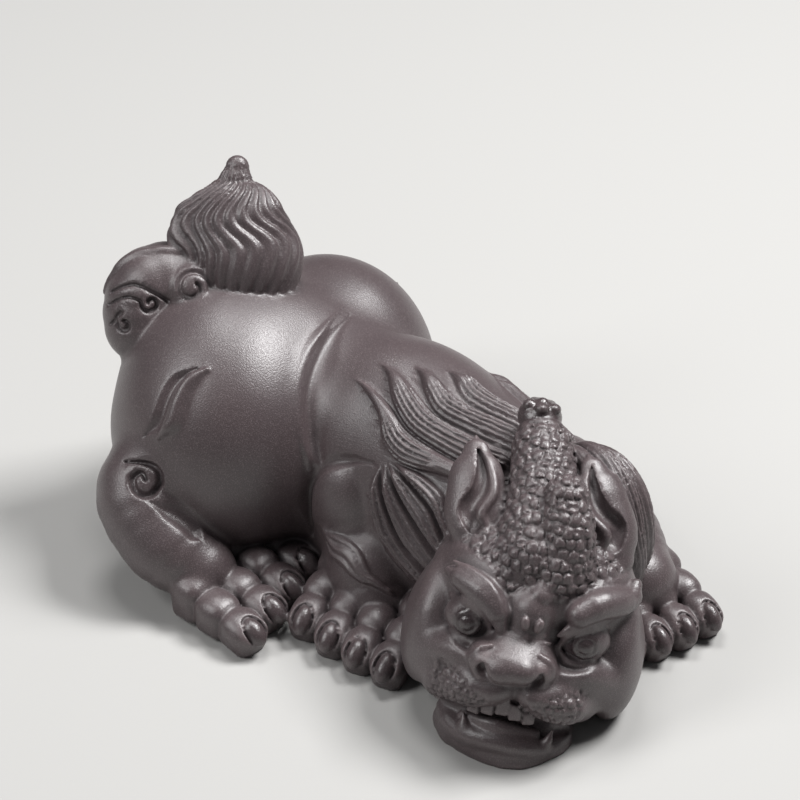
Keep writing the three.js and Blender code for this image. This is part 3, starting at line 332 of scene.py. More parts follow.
# Raised locks of hair, one between each line and the next, parted into strands
class Sheaf:
    def __init__(self, mass, edges, height, strands, parting, taper):
        self.lines = [Line(mass, edge, [1, 1], 18) for edge in edges]
        self.middle, self.reach = ballAround(np.concatenate([line.p for line in self.lines]), 1.5)
        self.top, self.strands, self.parting, self.taper = height, strands, parting, taper
        a, b = self.lines[0], self.lines[-1]
        self.side = np.sign(((b.p - a.p) * a.across).sum())

    def height(self, p):
        h = filled(p)
        found = [line.measure(p) for line in self.lines]
        for (ta, ua, va, _, beyondA), (tb, ub, _, _, beyondB) in zip(found, found[1:]):
            a, b = self.side * ua, -self.side * ub
            wide = np.maximum(a + b, 1e-3)
            s = a / wide
            t = mix(ta, tb, s)
            # the lock narrows from both edges towards its ends
            full = mix(0.35, 1, ease(0, 0.3, t)) * (1 - self.taper * ease(0.55, 1, t))
            c = (2 * s - 1) / full
            crown = 1 - np.abs(np.clip(c, -1, 1)) ** 3
            comb = np.cos(pi * self.strands * (c + 1) / 2)
            size = ease(0.2, 2.4, wide) * ease(0, 0.25, t) * (1 - ease(0.97, 1, t))
            cut = self.parting * (1 - np.sqrt(1 - 0.98 * comb * comb)) \
                * ease(0.5, 1.1, wide * full / self.strands)
            bump = (self.top * crown - cut) * size
            ended = (beyondA > 1) & (np.abs(ta - 0.5) > 0.499) | (beyondB > 1) & (np.abs(tb - 0.5) > 0.499)
            off = (a < 0) | (b < 0) | (np.abs(c) >= 1) | (np.abs(va) > 5) | ended
            h = np.maximum(h, np.where(off, 0, np.maximum(0, bump)))
        return h


# A sunk line, or a raised one where the depth is negative
class Groove:
    def __init__(self, mass, points, width, depth, fade, steps, soft):
        self.line = Line(mass, points, [f * width for f in fade], steps)
        self.middle, self.reach = ballAround(self.line.p, width + 2)
        self.width, self.depth, self.soft = width, depth, soft

    def height(self, p):
        _, u, v, r, beyond = self.line.measure(p)
        away = np.sqrt(u * u + beyond * beyond)
        dome = np.maximum(0, 1 - (away / r) ** 2) ** self.soft
        h = -self.depth * dome * np.minimum(1, r / self.width + 0.2)
        return np.where((away >= r) | (np.abs(v) > 4), 0, h)


def groove(mass, points, width, depth, fade, steps=20, soft=1):
    mass.carve(Groove(mass, points, width, depth, fade, steps, soft))


def ridge(mass, points, width, height, fade, steps=20, soft=1):
    mass.carve(Groove(mass, points, width, -height, fade, steps, soft))


# Locks that run from a tip, each drawn along a lower and an upper edge
def carveLocks(mass, locks, height, strands, parting, taper=0.0):
    for tip, low, top in locks:
        mass.carve(Sheaf(mass, [[tip, *low], [tip, *top]], height, strands, parting, taper))


# Pebbled skin: small domes crowded together, each round its own jittered middle
class Pebbles:
    def __init__(self, frame, middle, reach, spacing, depth, share):
        self.frame, self.spacing, self.depth, self.share = frame, spacing, depth, share
        self.middle, self.reach = inWorld(frame, middle), reach

    def height(self, p):
        q = inLocal(self.frame, p).astype(float)
        share = self.share(q)
        h = np.zeros(len(p))
        on = np.flatnonzero(share > 0.02)
        g = q[on] / self.spacing
        # every other row is shifted by half a step
        g[:, 0] += 0.5 * (np.floor(g[:, 2]) % 2)
        cell = np.floor(g)
        first = second = np.full(len(on), 9.0)
        for step in cubeOf(3) - 1:
            c = cell + step
            jitter = [np.sin(c @ [12.99, 78.23, 37.72] + k) * 4375.85 % 1 - 0.5 for k in (0, 1.7, 3.9)]
            away = lengths(c + 0.5 + 0.35 * np.stack(jitter, 1) - g)
            second = np.minimum(second, np.maximum(first, away))
            first = np.minimum(first, away)
        h[on] = -self.depth * share[on] * (1 - ease(0, 0.32, second - first)) - 0.02
        return h


# Trunk, neck, haunches and shoulders

body = {"maneHeight": 1.9, "strands": 6, "parting": 0.95, "curlWidth": 1.1, "curlDepth": 1.3}


def trunk():
    mass = Mass(1.2)
    mass.egg(8, [3, 36, 22], [26, 25, 29])
    mass.egg(8, [3, 4, 18], [22, 32, 30])
    mass.egg(8, [0, -20, 17], [20, 20, 22])
    mass.limb(8, [[-2, -10, 29], [-4, -26, 27], [-6, -38, 24]], [14, 15, 15])
    mass.egg(8, [-8, 42, 35], [19, 20, 19.4])
    mass.egg(4, [-13, 37.4, 25], [23.4, 24.2, 26.4])
    mass.egg(3, [18, 34, 23.4], [21, 23, 25.4])
    # knees and lower legs behind the hind paws
    mass.limb(2.5, [[-28, 41, 24], [-34.4, 42.6, 19.5], [-37.8, 35.3, 13], [-36.2, 28, 8]],
        [10, 9.6, 8.8, 7.4])
    mass.limb(2.5, [[28, 43, 24], [35, 45.5, 19.5], [38.4, 37, 12.5], [36.6, 28, 8]], [10, 10, 9, 7.4])
    # right elbow and forearm, and the left foreleg reaching forward
    mass.egg(0.5, [-12.6, 5.5, 20.5], [8.6, 9.8, 12.7], [0, 0, 10])
    mass.limb(2.5, [[-11, 4, 12], [-16.6, -1, 9.6], [-20.6, -4.4, 6.6]], [9, 9.4, 7.2])
    mass.limb(4, [[22, -20, 13], [18.5, -35, 10.5], [11, -46.6, 8]], [11.5, 9.8, 8])
    # mane behind the left of the head
    mass.egg(3, [-1.8, -41.4, 27], [10.8, 12, 16.6])
    carveMane(mass)
    carveHaunches(mass)
    return mass


def carveMane(mass):
    height, strands, parting = body["maneHeight"], body["strands"], body["parting"]
    # right side of the neck: four locks that sweep up and back from the ear, and share three edges
    first = [[-11.4, -6.3, 41.5], [-12.3, -13.4, 40.2], [-12.9, -20.7, 39.6], [-12.5, -28.5, 39.6]]
    second = [[-7.2, -9.9, 44.1], [-7.4, -15.9, 43.1], [-7.4, -22.8, 42.4], [-6.8, -30, 41.8]]
    third = [[-0.8, -24.3, 43], [0, -31, 42.5]]
    carveLocks(mass, (
        ([-5.9, 14.3, 43.9],
         [[-7.7, 7.4, 44], [-10.8, 1, 41.7], [-14.2, -2.5, 38.1], [-15.7, -8, 36.2], [-15.4, -18.3, 37.4],
          [-15.6, -26, 36]],
         [[-6.7, 6.9, 44.6], [-9.1, -0.7, 43.3], *first]),
        ([-1.6, 9, 46.8],
         [[-4.6, 3.6, 46], [-8.6, -0.9, 43.6], *first],
         [[-2.5, 2.2, 47], [-5.4, -5, 45.3], *second]),
        ([0.4, 1.8, 47.6],
         [[-2.2, -2.4, 46.6], [-5.2, -6.4, 45.1], *second],
         [[0.6, -3.7, 47.1], [-1.7, -10, 45.7], [-2, -14.9, 44.5], [-1.2, -19.9, 43.8], *third]),
        ([3.4, -4, 48],
         [[1, -8.4, 46.8], [-1.4, -12.4, 45.4], [-1.6, -17, 44.2], *third],
         [[5, -10.4, 46.5], [4.6, -17, 45], [5, -24, 43], [6, -31, 42]]),
    ), height, strands, parting)
    # a fall of locks from the same root down to the forearm
    mass.carve(Sheaf(mass, [
        [[-15.4, -3.1, 36.2], [-17.5, -2, 30.4], [-18.5, -3.1, 24.3], [-19, -5.8, 18.5], [-19.4, -11.8, 15],
         [-20.5, -16.5, 11.5]],
        [[-15.4, -3.1, 36.2], [-17.5, -4.8, 31.5], [-18.8, -7.6, 26.4], [-19.6, -11.5, 21.3],
         [-20.2, -17.1, 17.9], [-21, -21, 14.5]],
        [[-15.3, -3.3, 36.2], [-17.2, -7, 33.2], [-18.5, -11.2, 29.6], [-19.6, -15.2, 26.8],
         [-20.6, -20.6, 23], [-21.5, -25, 19.5]],
        [[-15.3, -3.3, 36.2], [-16.4, -8.8, 34.9], [-17.7, -13.9, 33.1], [-18.8, -17.9, 31.2],
         [-20.3, -22.1, 26.8], [-21.3, -26.5, 22]],
        [[-15.2, -4.2, 36.5], [-15.6, -10.1, 36.4], [-16.2, -15.2, 36], [-17.1, -19, 34.9],
         [-19, -22.6, 31.5], [-20, -27.5, 27]],
    ], height * 1.1, strands // 2, parting, 0.35))
    # two flames of hair down the right foreleg, and the edge round its elbow
    carveLocks(mass, (
        ([-19.9, 10.6, 17.3],
         [[-21.4, 6.6, 14.8], [-23.4, 3.6, 13.4], [-25.3, -0.4, 13.4], [-25.7, -3.9, 12.2],
          [-24.7, -8, 11.1], [-22.9, -10.6, 9.1]],
         [[-20.8, 5.4, 18.2], [-21.1, 0.8, 17.9], [-22.1, -3.1, 16.8], [-23.5, -6.2, 14],
          [-22.7, -8.8, 11.7], [-22, -10.7, 9.6]]),
        ([-17.8, -0.1, 28.4],
         [[-18.5, -2.8, 24.3], [-19, -4.5, 19.7], [-19.9, -7.3, 16.3], [-19.5, -10.7, 13],
          [-19.1, -13.7, 11.6]],
         [[-18, -3.4, 28.5], [-18.8, -6.4, 25.1], [-19.3, -9.1, 21.4], [-19.7, -12.7, 18.3],
          [-20.1, -16.3, 16.9]]),
    ), height * 0.7, strands // 2, parting * 0.7, 0.3)
    groove(mass, [[-16.2, -1.2, 34.2], [-16.1, 3.7, 32.8], [-17.4, 9.4, 29.8], [-18.6, 12.4, 24.8],
        [-18.7, 12.9, 18.1], [-17.4, 12.9, 11]], 1.8, 0.9, [0.3, 1, 1, 0.5], soft=1.6)
    # left side of the neck: locks that fall from the ear, and two that sweep over the shoulder
    mass.carve(Sheaf(mass, [
        [[2, -30, 40], [-3, -38, 43.5], [-8, -46, 41], [-11, -52, 33], [-10, -54, 22]],
        [[2, -30, 40], [0, -39, 43.6], [-4, -47.5, 41], [-6, -53, 32], [-5, -54, 19]],
        [[3, -30, 40], [4, -38, 42.6], [1.5, -47, 40], [0, -52.8, 31], [1, -53.5, 17]],
        [[4, -29, 40], [8, -36, 40.5], [7, -44.5, 37.5], [6, -50, 29], [7.5, -51, 16]],
        [[5, -28, 40], [12, -33, 37], [12.5, -40, 33], [11.5, -45.5, 26], [12.5, -47, 16]],
    ], height, strands, parting, 0.35))
    carveLocks(mass, (
        ([15.8, -5, 40.2], [[17.8, -13, 36.6], [17.4, -22, 33.6], [14.6, -30, 32]],
         [[15.8, -13, 40.6], [14, -22, 40.8], [10, -30, 39]]),
        ([13.8, -9, 42.4], [[15.2, -14, 41], [14, -22, 40.8], [10, -30, 39]],
         [[13.6, -15, 42.6], [11.4, -22, 42.8], [7.4, -30, 41.4]]),
    ), height * 0.8, strands, parting)


def carveHaunches(mass):
    w, depth = body["curlWidth"], body["curlDepth"]
    # comma on the right haunch: a raised blade with a sunk edge behind it
    ridge(mass, [[-24.3, 32.8, 47.4], [-27, 34.8, 45.4], [-30, 35.4, 42.2], [-32.3, 35.4, 38.8],
        [-34.2, 37.4, 35]], 2.8, 1.5, [0.3, 0.8, 1, 1, 0.3], soft=1.8)
    groove(mass, [[-25.2, 34.8, 47.3], [-28.4, 37.6, 45], [-31.4, 38.4, 41.6], [-33.6, 38.6, 38.2],
        [-35, 41.4, 34]], w * 1.8, depth * 0.8, [0.3, 1, 1, 1, 0.2], soft=1.8)
    # the same comma, plainer, on the left haunch
    ridge(mass, [[31, 28.6, 37.4], [33.6, 31, 34.6], [35.6, 33, 31], [36.8, 35, 26]],
        2.6, 0.9, [0.2, 0.9, 1, 0.3], steps=18, soft=1.8)
    groove(mass, [[31.6, 30.4, 38], [34.2, 33.6, 35], [36.4, 36, 31], [37, 38, 26]],
        w * 1.6, depth * 0.8, [0.2, 1, 1, 0.3], steps=18, soft=1.8)
    # curl over each knee
    for points in (
        [[-38.2, 43.8, 28.8], [-37.3, 40, 29.6], [-36.4, 36.8, 28.6], [-37.4, 35.6, 26.2], [-40, 36.4, 24.6],
         [-41, 39, 25.4], [-39.8, 40.5, 27.2], [-38.4, 39.4, 28], [-38.6, 38.2, 26.9]],
        [[39, 45, 28], [38.6, 40.6, 29.6], [38, 37.4, 27.6], [39.4, 37, 24.4], [41.6, 39.6, 23.6],
         [41.6, 42.4, 25.6], [39.8, 41.6, 27.4], [39.4, 40.2, 26.2]],
    ):
        groove(mass, points, w * 0.85, depth, [0.4, 1, 1, 1, 0.6], steps=30)
    # edge in front of the thigh, and the crease between thigh and lower leg
    edge = [[9.9, 24.7, 46.9], [0.4, 22.6, 47.5], [-6.8, 20.9, 45.8], [-12.6, 18.7, 42.5], [-16, 16.1, 37.5],
            [-17.4, 14.5, 33], [-18, 12.7, 27.6]]
    groove(mass, np.array(edge) + [0, -2.6, 0], 3.6, 0.8, [0.1, 1, 1, 0.3], soft=2)
    ridge(mass, edge, 2.2, 0.6, [0.1, 1, 1, 0.3], soft=2)
    groove(mass, [[-40.7, 36.3, 23.9], [-38.4, 31.3, 20.8], [-37.1, 26.9, 18.2], [-36.7, 24.9, 16.6]],
        2.6, 0.9, [0.2, 1, 1, 0.1], soft=2)
    groove(mass, [[41.5, 38, 23], [39.4, 33, 20], [38, 28, 17.6], [37.4, 25, 15.8]],
        2, 1, [0.3, 1, 1, 0.2], steps=14, soft=1.6)


# Paws: toes side by side, each a row of tip, knuckle and instep, with an oval claw in the tip

pawSizes = {"toes": 4, "toeHeight": 7.8, "bow": 1}
# claws, eyes and knob: each place with a glossier skin, its reach and its gloss
polished = []


def paw(firstClaw, lastClaw, heading):
    mass = Mass(1)
    count, h = pawSizes["toes"], pawSizes["toeHeight"]
    forward = unit(heading)
    step = (np.array(lastClaw, float) - firstClaw) / (count - 1)
    half = np.linalg.norm(np.cross(step, forward)) * 0.5
    for i in range(count):
        ahead = pawSizes["bow"] * sin(pi * (i + 0.5) / count)
        claw = firstClaw + step * i + forward * ahead

        def segment(back, height, long, tall, lean):
            at = frameAt([*(claw - forward * back)[:2], height], heading, [0, 0, 1])
            mass.add(Block(at, [0, 0, 0], [half * 0.97, long, tall], 2.4, [lean, 0, 0]), 0.4)
            radii = [half * 1.08, long * 1.06, tall * 0.95]
            mass.add(Egg(at, [0, 0, tall * 0.22], radii, [lean, 0, 0]), 0.9)

        segment(15, h * 0.66, 3.8, h * 0.62, 0)
        segment(8.2, h * 0.54, 4, h * 0.54, 0)
        segment(1.2, h * 0.43, 4.3, h * 0.48, -14)
        nail = frameAt([*(claw + forward * 2)[:2], h * 0.66], heading, [0, 0, 1])
        mass.cut(Egg(nail, [0, 0.2, 0.4], [half * 0.66, 3.5, 1.6], [-40, 0, 0]), 0.3)
        mass.add(Egg(nail, [0, 0, 0], [half * 0.52, 3.1, 1.9], [-40, 0, 0]), 0.12)
        polished.append((inWorld(nail, [0, 0.8, 1]), half * 0.72, 0.5))
    return mass


# Head: it looks to the figure's right, a little up, and leans to its left

head = frameAt([-20.9, -40.4, 17.9], [-0.847, -0.47, 0.249], [0.288, -0.011, 0.958])
face = {
    "middle": -0.5,    # the line that halves the face
    "eyeRadius": 3.9, "iris": 2.7, "toothWidth": 2.5, "teeth": 5,
    "pebble": 2.05,    # mm from one pebble of the crown and horn to the next
    "pit": 1.6,        # mm from one whisker pit to the next
    "pebbleDepth": 0.6,
}


def spot(side, x, y, z):
    return [side * x + face["middle"], y, z]


def pairOf(side, points):
    return [spot(side, *point) for point in points]


def headMass():
    mass = Mass(0.8, head)
    mass.egg(3, [-0.5, -4, 3], [19.8, 19, 18])
    mass.egg(5, [-1, 3, 9], [17.5, 12, 11.5])
    # jaw, narrower than the muzzle above it
    mass.add(Block(head, [-0.5, 5, -20.2], [12.6, 10, 6], 4, [0, -7, 0]), 3)
    mass.limb(1.5, [[10.4, 9, -20.6], [5, 13.6, -21.6], [-3, 15.4, -22.6], [-9.4, 12.2, -23.2]],
        [3.2, 3.9, 4.4, 4])
    # broad muzzle from cheek to cheek, with a pad on each side of the nose
    mass.add(Block(head, [0, 5.5, -7.6], [17, 10.5, 7.2], 5), 2.5)
    mass.add(Block(head, [0.3, 9, -5.6], [12.5, 10, 6.2], 4.6), 3)
    mass.egg(2.5, [12.6, 9, -10.4], [5, 6.6, 5.4])
    for side in (-1, 1):
        mass.egg(3, spot(side, 18.2, 1, -5.6), [5.2, 11, 11.5])
        mass.egg(1.5, spot(side, 7, 15.2, -8.2), [8, 6.6, 5], [0, side * 20, side * -20])
        mass.egg(1.2, spot(side, 3.8, 17, -7.4), [4.6, 5.4, 3.4], [0, side * 30, 0])
        mass.limb(3, pairOf(side, [[17.4, 1, 8.6], [17.6, 4.6, 4.6], [17.4, 7.4, 1], [16.6, 8.6, -3]]),
            [1.6, 2.6, 2.8, 2.2])
        # rounded upper edge of the muzzle
        mass.limb(1.8, pairOf(side, [[16.9, 8.6, -9.5], [16.2, 11.2, -5.6], [12.2, 14.6, -3.2],
            [6, 17, -1.6]]), [2.2, 2.6, 2.6, 1.4])
        mass.cut(Limb(head, pairOf(side, [[14.4, 13.8, -0.4], [11.4, 16.2, 0.8], [8.4, 18.2, 1.4]]),
            [0.1, 0.6, 0.3]), 0.9)
    # mouth, open a little
    mass.cut(Limb(head, [[15.5, 10, -16.6], [8, 16.4, -15.8], [1.5, 19, -13.6], [-6, 17.2, -15.8],
        [-14, 10.5, -16.2]], [0.9, 1.9, 2.7, 1.9, 0.9], steps=14), 0.6)
    brows(mass)
    eyes(mass)
    nose(mass)
    mouth(mass)
    mass.carve(Pebbles(head, [0, 8, 14], 32, face["pebble"], face["pebbleDepth"], crownShare))
    mass.carve(Pebbles(head, [0, 14, -11], 26, face["pit"], face["pebbleDepth"] * 0.8, padShare))
    return mass


# The pebbled crown starts above the brows and the boss between them
browEdge = [[-19.6, 14.8], [-18, 13.4], [-15.6, 13.8], [-12.4, 13.8], [-9.4, 12], [-7, 10.4], [-5, 11],
            [-2.6, 14.4], [-0.6, 13], [3, 10], [4.6, 9], [5.8, 10.4], [8, 12.8], [12, 13.8], [15.4, 13.2]]


def crownShare(q):
    x, z = np.array(browEdge).T
    above = q[:, 2] - np.interp(q[:, 0], x, z)
    return ease(0.2, 1.2, above) * (1 - ease(14, 16, q[:, 0])) * (1 - ease(16.5, 18.5, -q[:, 0])) \
        * ease(-9, -5, q[:, 1])


# Whisker pits cover the lower half of each pad, down to the lip
lipEdge = [[-17.2, -14], [-15.1, -14.2], [-10.7, -13.4], [-7.4, -13.1], [-3.4, -11.8], [0.1, -9.6],
           [2, -8.9], [5.5, -11.3], [9.2, -13.4], [12.8, -15.6], [15, -15.6]]


def padShare(q):
    x, z = np.array(lipEdge).T
    above = q[:, 2] - np.interp(q[:, 0], x, z)
    across = np.abs(q[:, 0] - 1)
    top = -7.5 - 2.2 * np.cos(np.clip(across / 12, 0, 1) * pi)
    return (1 - ease(-0.8, 0.8, q[:, 2] - top)) * ease(1, 3, across) * (1 - ease(13, 15.5, across)) \
        * ease(8, 11, q[:, 1]) * ease(0, 0.6, above)


# Overhanging brows with a ridge along each edge, and a pointed boss between them
def brows(mass):
    for side in (-1, 1):
        mass.cut(Egg(head, spot(side, 10.8, 17, 3), [7.4, 4.8, 4.8], [0, side * -20, side * -26]), 0.8)
    mass.limb(0.8, [[4.4, 16.6, 3.8], [6, 16, 7.2], [9, 14.3, 9.2], [12.6, 12.1, 9.8], [15.8, 9.2, 9.6]],
        [1.2, 2.4, 2.8, 2.4, 1])
    mass.limb(0.6, [[4.2, 17.6, 3.8], [5.2, 17.4, 8], [8, 15.6, 11.2], [12, 12.6, 12.2], [15.4, 9.4, 11.8]],
        [0.4, 0.7, 0.8, 0.7, 0.3])
    mass.limb(0.6, [[4.9, 17.4, 3.6], [7.4, 16.9, 6.4], [10.6, 15, 7.7], [14, 11.6, 7.8]],
        [0.4, 0.7, 0.7, 0.3])
    mass.limb(0.9, [[-9.4, 15.4, 8.9], [-12.4, 13.2, 10.5], [-15.6, 10.2, 10.5], [-18.2, 7, 10.4],
        [-19, 5, 12.6]], [2.5, 3, 2.9, 2.3, 1.2])
    mass.limb(0.8, [[-6.4, 16.4, 4.4], [-8.2, 16.2, 6.2], [-11.4, 14.4, 7.1], [-15, 10.8, 6.9]],
        [0.4, 0.8, 0.8, 0.4])
    mass.limb(0.8, [[-0.5, 13.6, 2.6], [-0.6, 13.6, 6.6], [-1.6, 14.6, 10.4], [-2.6, 14.8, 13.4]],
        [4.4, 4.8, 2.6, 0.5])
    for side in (-1, 1):
        mass.egg(0.2, [-1.1 + side * 1.3, 18.6, 6.4], [0.85, 0.7, 1.5], [0, side * 14, 0])


# Bulging eyes: a raised ring round the pupil, lids that meet at the inner corner
def eyes(mass):
    r, iris = face["eyeRadius"], face["iris"]
    for side in (-1, 1):
        pupil, turn = spot(side, 11.2, 15.5, 2.9), [0, 0, side * -12]
        mass.egg(0.3, spot(side, 10.7, 12, 2.8), [r * 1.3, r * 1.06, r * 1.04], [0, 0, side * -8])
        polished.append((inWorld(head, spot(side, 11.2, 16, 2.9)), iris * 1.25, 1))
        mass.egg(0.1, pupil, [iris, 0.9, iris], turn)
        mass.cut(Egg(head, spot(side, 11.3, 16.6, 2.9), [iris * 0.8, 0.9, iris * 0.8], turn), 0.1)
        mass.egg(0.1, pupil, [iris * 0.66, 1.2, iris * 0.66], turn)
        for lid in ([[6.4, 15.2, 1.2], [8.2, 15.6, -0.6], [11.8, 14.6, -0.9], [15, 9.8, 2]],
                    [[6.4, 15.2, 2], [7.6, 15.8, 4.9], [11, 14.9, 6.5], [14.8, 9.8, 5.2]]):
            mass.limb(0.7, pairOf(side, lid), [0.4, 0.9, 1, 0.6])


# Broad nose: wrinkles over the bridge, a wide tip, and wings that curl round the nostrils
def nose(mass):
    mass.egg(1.5, [0.2, 16.4, 0], [6.4, 4.6, 3.4])
    mass.egg(1, [1, 19.2, -1.9], [6.7, 4.7, 3.6])
    mass.egg(0.8, [3, 21.4, -2.7], [3, 2.5, 2.3])
    mass.egg(0.8, [-0.9, 21.6, -1.8], [3, 2.5, 2.3])
    for side in (-1, 1):
        def wing(*points):
            return [[1 + side * x, y, z] for x, y, z in points]

        mass.egg(0.8, *wing([5.5, 18.2, -2.1]), [3, 3.8, 3.2])
        mass.cut(Limb(head, wing([3.8, 22.6, -4.6], [5.1, 21.8, -3.4], [5.2, 20.9, -1.2]),
            [0.9, 1.35, 0.6]), 0.3)
        mass.limb(0.4, wing([4.6, 19.9, 1.2], [6.6, 20, 0.1], [7.3, 19.8, -2.2], [5.9, 20.4, -4.6],
            [3.4, 21, -5.4]), [0.5, 0.8, 1, 0.9, 0.4], steps=14)
    for z, w in ((1.4, 4), (2.6, 4.6), (3.7, 3.4)):
        mass.limb(0.4, [[w - 0.5, 17 - z * 0.1, z + 0.7], [-0.4, 19.5 - z * 0.42, z],
            [-w - 0.5, 17 - z * 0.1, z]], [0.3, 0.6, 0.3])


# Upper teeth under the lip, the tongue, a fang at each corner, and the lower lip
def mouth(mass):
    width, count = face["toothWidth"], face["teeth"]
    for i in range(count):
        x = (i - (count - 1) / 2) * width + 1.2
        turn = [0, 0, -5 * (x - 1.4)]
        mass.add(Block(head, [x, 18.7 - (x - 1) ** 2 * 0.045, -10.8 - abs(x - 1.4) * 0.28],
            [width * 0.49, 1.1, 1.8], 0.35, turn), 0.05)
    for side in (-1, 1):
        mass.limb(0.2, pairOf(side, [[7.4, 16.2, -19.6], [8, 16.6, -17.6], [8.5, 16, -15.4]]),
            [1.3, 0.9, 0.25])
    mass.limb(0.3, [[8, 14.4, -16.6], [1.5, 17.8, -15.7], [-6, 15.8, -16.8]], [0.9, 1.3, 0.9])
    mass.limb(1.1, [[12, 9.5, -18], [10, 13.6, -19.2], [5.6, 16.8, -19.2], [0.5, 18.2, -18.7],
        [-4, 17.8, -19], [-8.4, 15, -19.8], [-11.6, 10.4, -18.8]], [1.2, 1.9, 2.2, 2.2, 2.2, 1.9, 1.2],
        steps=14)


# Horn: a thick stem that leans back to a knob, with a round-topped lobe in front

horns = {"radius": 7.2, "knob": [4.8, -13.4, 34.9], "beads": 5, "earLength": 19, "earWidth": 12.5}


def belowKnob(q):
    return ease(4.7, 5.2, lengths(q - horns["knob"]))


def horn():
    mass = Mass(1, head)
    r, knob = horns["radius"], horns["knob"]
    mass.limb(2, [[0, 6, 15], [1.2, -1, 24], [3, -8, 29.8], [4.6, -13.5, 33.4]],
        [r * 1.25, r * 0.98, r * 0.84, r * 0.5])
    mass.limb(0.3, [[-4, 9, 13.5], [-4.2, 8.2, 21], [-2.8, 5.6, 27.4]], [r * 0.95, r * 0.78, r * 0.62])
    mass.egg(0.15, knob, [4.3, 4.3, 3.6])
    # a ring of beads on the knob, and one in the middle
    for angle in np.linspace(0, 2 * pi, horns["beads"], endpoint=False):
        bead = [4.8 + 2.5 * sin(angle), -13 + 2.3 * cos(angle), 37.3 + 0.4 * cos(angle)]
        mass.egg(0.15, bead, [1.35, 1.35, 1.1])
    mass.egg(0.15, [4.8, -13, 38], [1.2, 1.2, 1])
    polished.append((inWorld(head, knob), 5.6, 0.7))
    mass.carve(Pebbles(head, [2, -2, 25], 34, face["pebble"], face["pebbleDepth"], belowKnob))
    return mass


# A leaf-shaped ear, hollowed in front, with a fold along one edge of the hollow
def ear(base, tip, facing, side):
    turn = head[:3, :3]
    leaf = frameAt(inWorld(head, base), turn @ np.subtract(tip, base), turn @ np.array(facing))
    mass = Mass(0.6, leaf)
    l, w = horns["earLength"], horns["earWidth"]

    def along(*points):
        return [[side * w * x, l * y, w * z] for x, y, z in points]

    mass.limb(0.5, [[0, 0, 0], [0, l * 0.28, 0.3], [0, l * 0.56, 0.5], [0, l * 0.82, 0.3],
        [0, l * 1.04, 0]], [w * 0.36, w * 0.5, w * 0.44, w * 0.24, w * 0.03], 0.55, 16)
    mass.cut(Limb(leaf, along([0.02, 0.12, 0.27], [-0.1, 0.26, 0.29], [0.1, 0.46, 0.29], [0.14, 0.68, 0.2],
        [0.02, 0.95, 0.07]), [w * 0.17, w * 0.15, w * 0.13, w * 0.1, w * 0.02], steps=16), 0.15)
    mass.limb(0.4, along([0.2, 0.06, 0.2], [0.12, 0.2, 0.3], [0.3, 0.42, 0.24], [0.26, 0.66, 0.16],
        [0.05, 0.94, 0.05]), [w * 0.05, w * 0.08, w * 0.08, w * 0.07, w * 0.02], steps=14)
    return mass


# Tail: a thick roll from the rump over to the tuft, with three curls between rising bands

# the plane of the curls, square to the camera
sideways = np.array([0.574, -0.819, 0])
upward = np.array([0.47, 0.329, 0.819])


# A curl wound up counterclockwise from its outer end
def curl(centre, fromAngle, toAngle, outer, inner, steps=16):
    turn = np.radians(np.linspace(fromAngle, toAngle, steps))[:, None]
    r = np.linspace(outer, inner, steps)[:, None]
    return (np.array(centre) + r * (np.cos(turn) * sideways + np.sin(turn) * upward)).tolist()


def tail():
    mass = Mass(1)
    mass.limb(2, [[-15.4, 54, 38.6], [-15, 57.3, 45.2], [-10.6, 57.4, 50.4], [-5, 52, 51.4], [0, 44, 52]],
        [6, 7.8, 8.6, 7.8, 6.5])
    # a round boss carries the largest curl
    mass.egg(0.8, [-8.8, 48.4, 52.9], [5.5, 5.5, 5.2])
    w, depth = body["curlWidth"], body["curlDepth"]
    # each groove sweeps in from the outer edge and winds up in a curl
    for points, wide in (
        ([[-19.1, 61.1, 52.5], [-17.6, 56.5, 55.2], [-16.1, 51.7, 53.7], [-13.7, 49.4, 50.9]]
         + curl([-11.2, 46.4, 54.8], -95, 395, 4.1, 0.8), 0.7),
        ([[-20.4, 61.1, 50.1], [-19.5, 56.9, 53], [-18.9, 54.4, 52.9]]
         + curl([-17.4, 52.4, 52], 170, 530, 2, 0.6, 12), 0.55),
        ([[-22, 59.4, 46.9], [-21.4, 57.2, 49.7]] + curl([-21.4, 56.2, 48], 95, 440, 2.3, 0.6, 12), 0.6),
    ):
        groove(mass, points, wide * w, depth * 0.7, [0.6, 1, 1, 0.8], steps=56)
    ridge(mass, [[-17, 64, 50], [-12.5, 60, 56.4], [-8, 54, 58.4], [-4, 48, 58]],
        w * 1.2, depth * 0.6, [0.3, 1, 1, 0.3], steps=14)
    return mass


# Tuft: a flame-shaped bud of hair, parted into strands that meet at its tip

tuftSizes = {"width": 24.5, "depth": 18, "strands": 22, "parting": 0.8}
tuftFrame = frameAt([1.4, 43.8, 57.6], [0.47 * 0.57, 0.57 * 0.67, 0.82], [-0.7, -0.5, 0.5])


# Strands round an upright axis, which shifts to the side towards the tip
class StrandsAround:
    def __init__(self, frame, count, flat, depth):
        self.frame, self.count, self.flat, self.depth = frame, count, flat, depth
        self.middle, self.reach = frame[:3, 3], 40

    def height(self, p):
        q = inLocal(self.frame, p)
        up = q[:, 1]
        axis = mix(-2.6, 2.6, ease(2, 17, up))
        lz = q[:, 2] / self.flat
        sweep = 0.035 * np.sin(0.32 * (up + 6)) + 0.012 * np.sin(0.55 * up)
        around = np.arctan2(lz, q[:, 0] - axis) / (2 * pi) + sweep
        fade = ease(0.8, 4, np.hypot(q[:, 0] - axis, lz))
        comb = np.abs(np.cos(pi * self.count * around))
        return -self.depth * fade * (1 - np.sqrt(1 - comb * comb * 0.98))


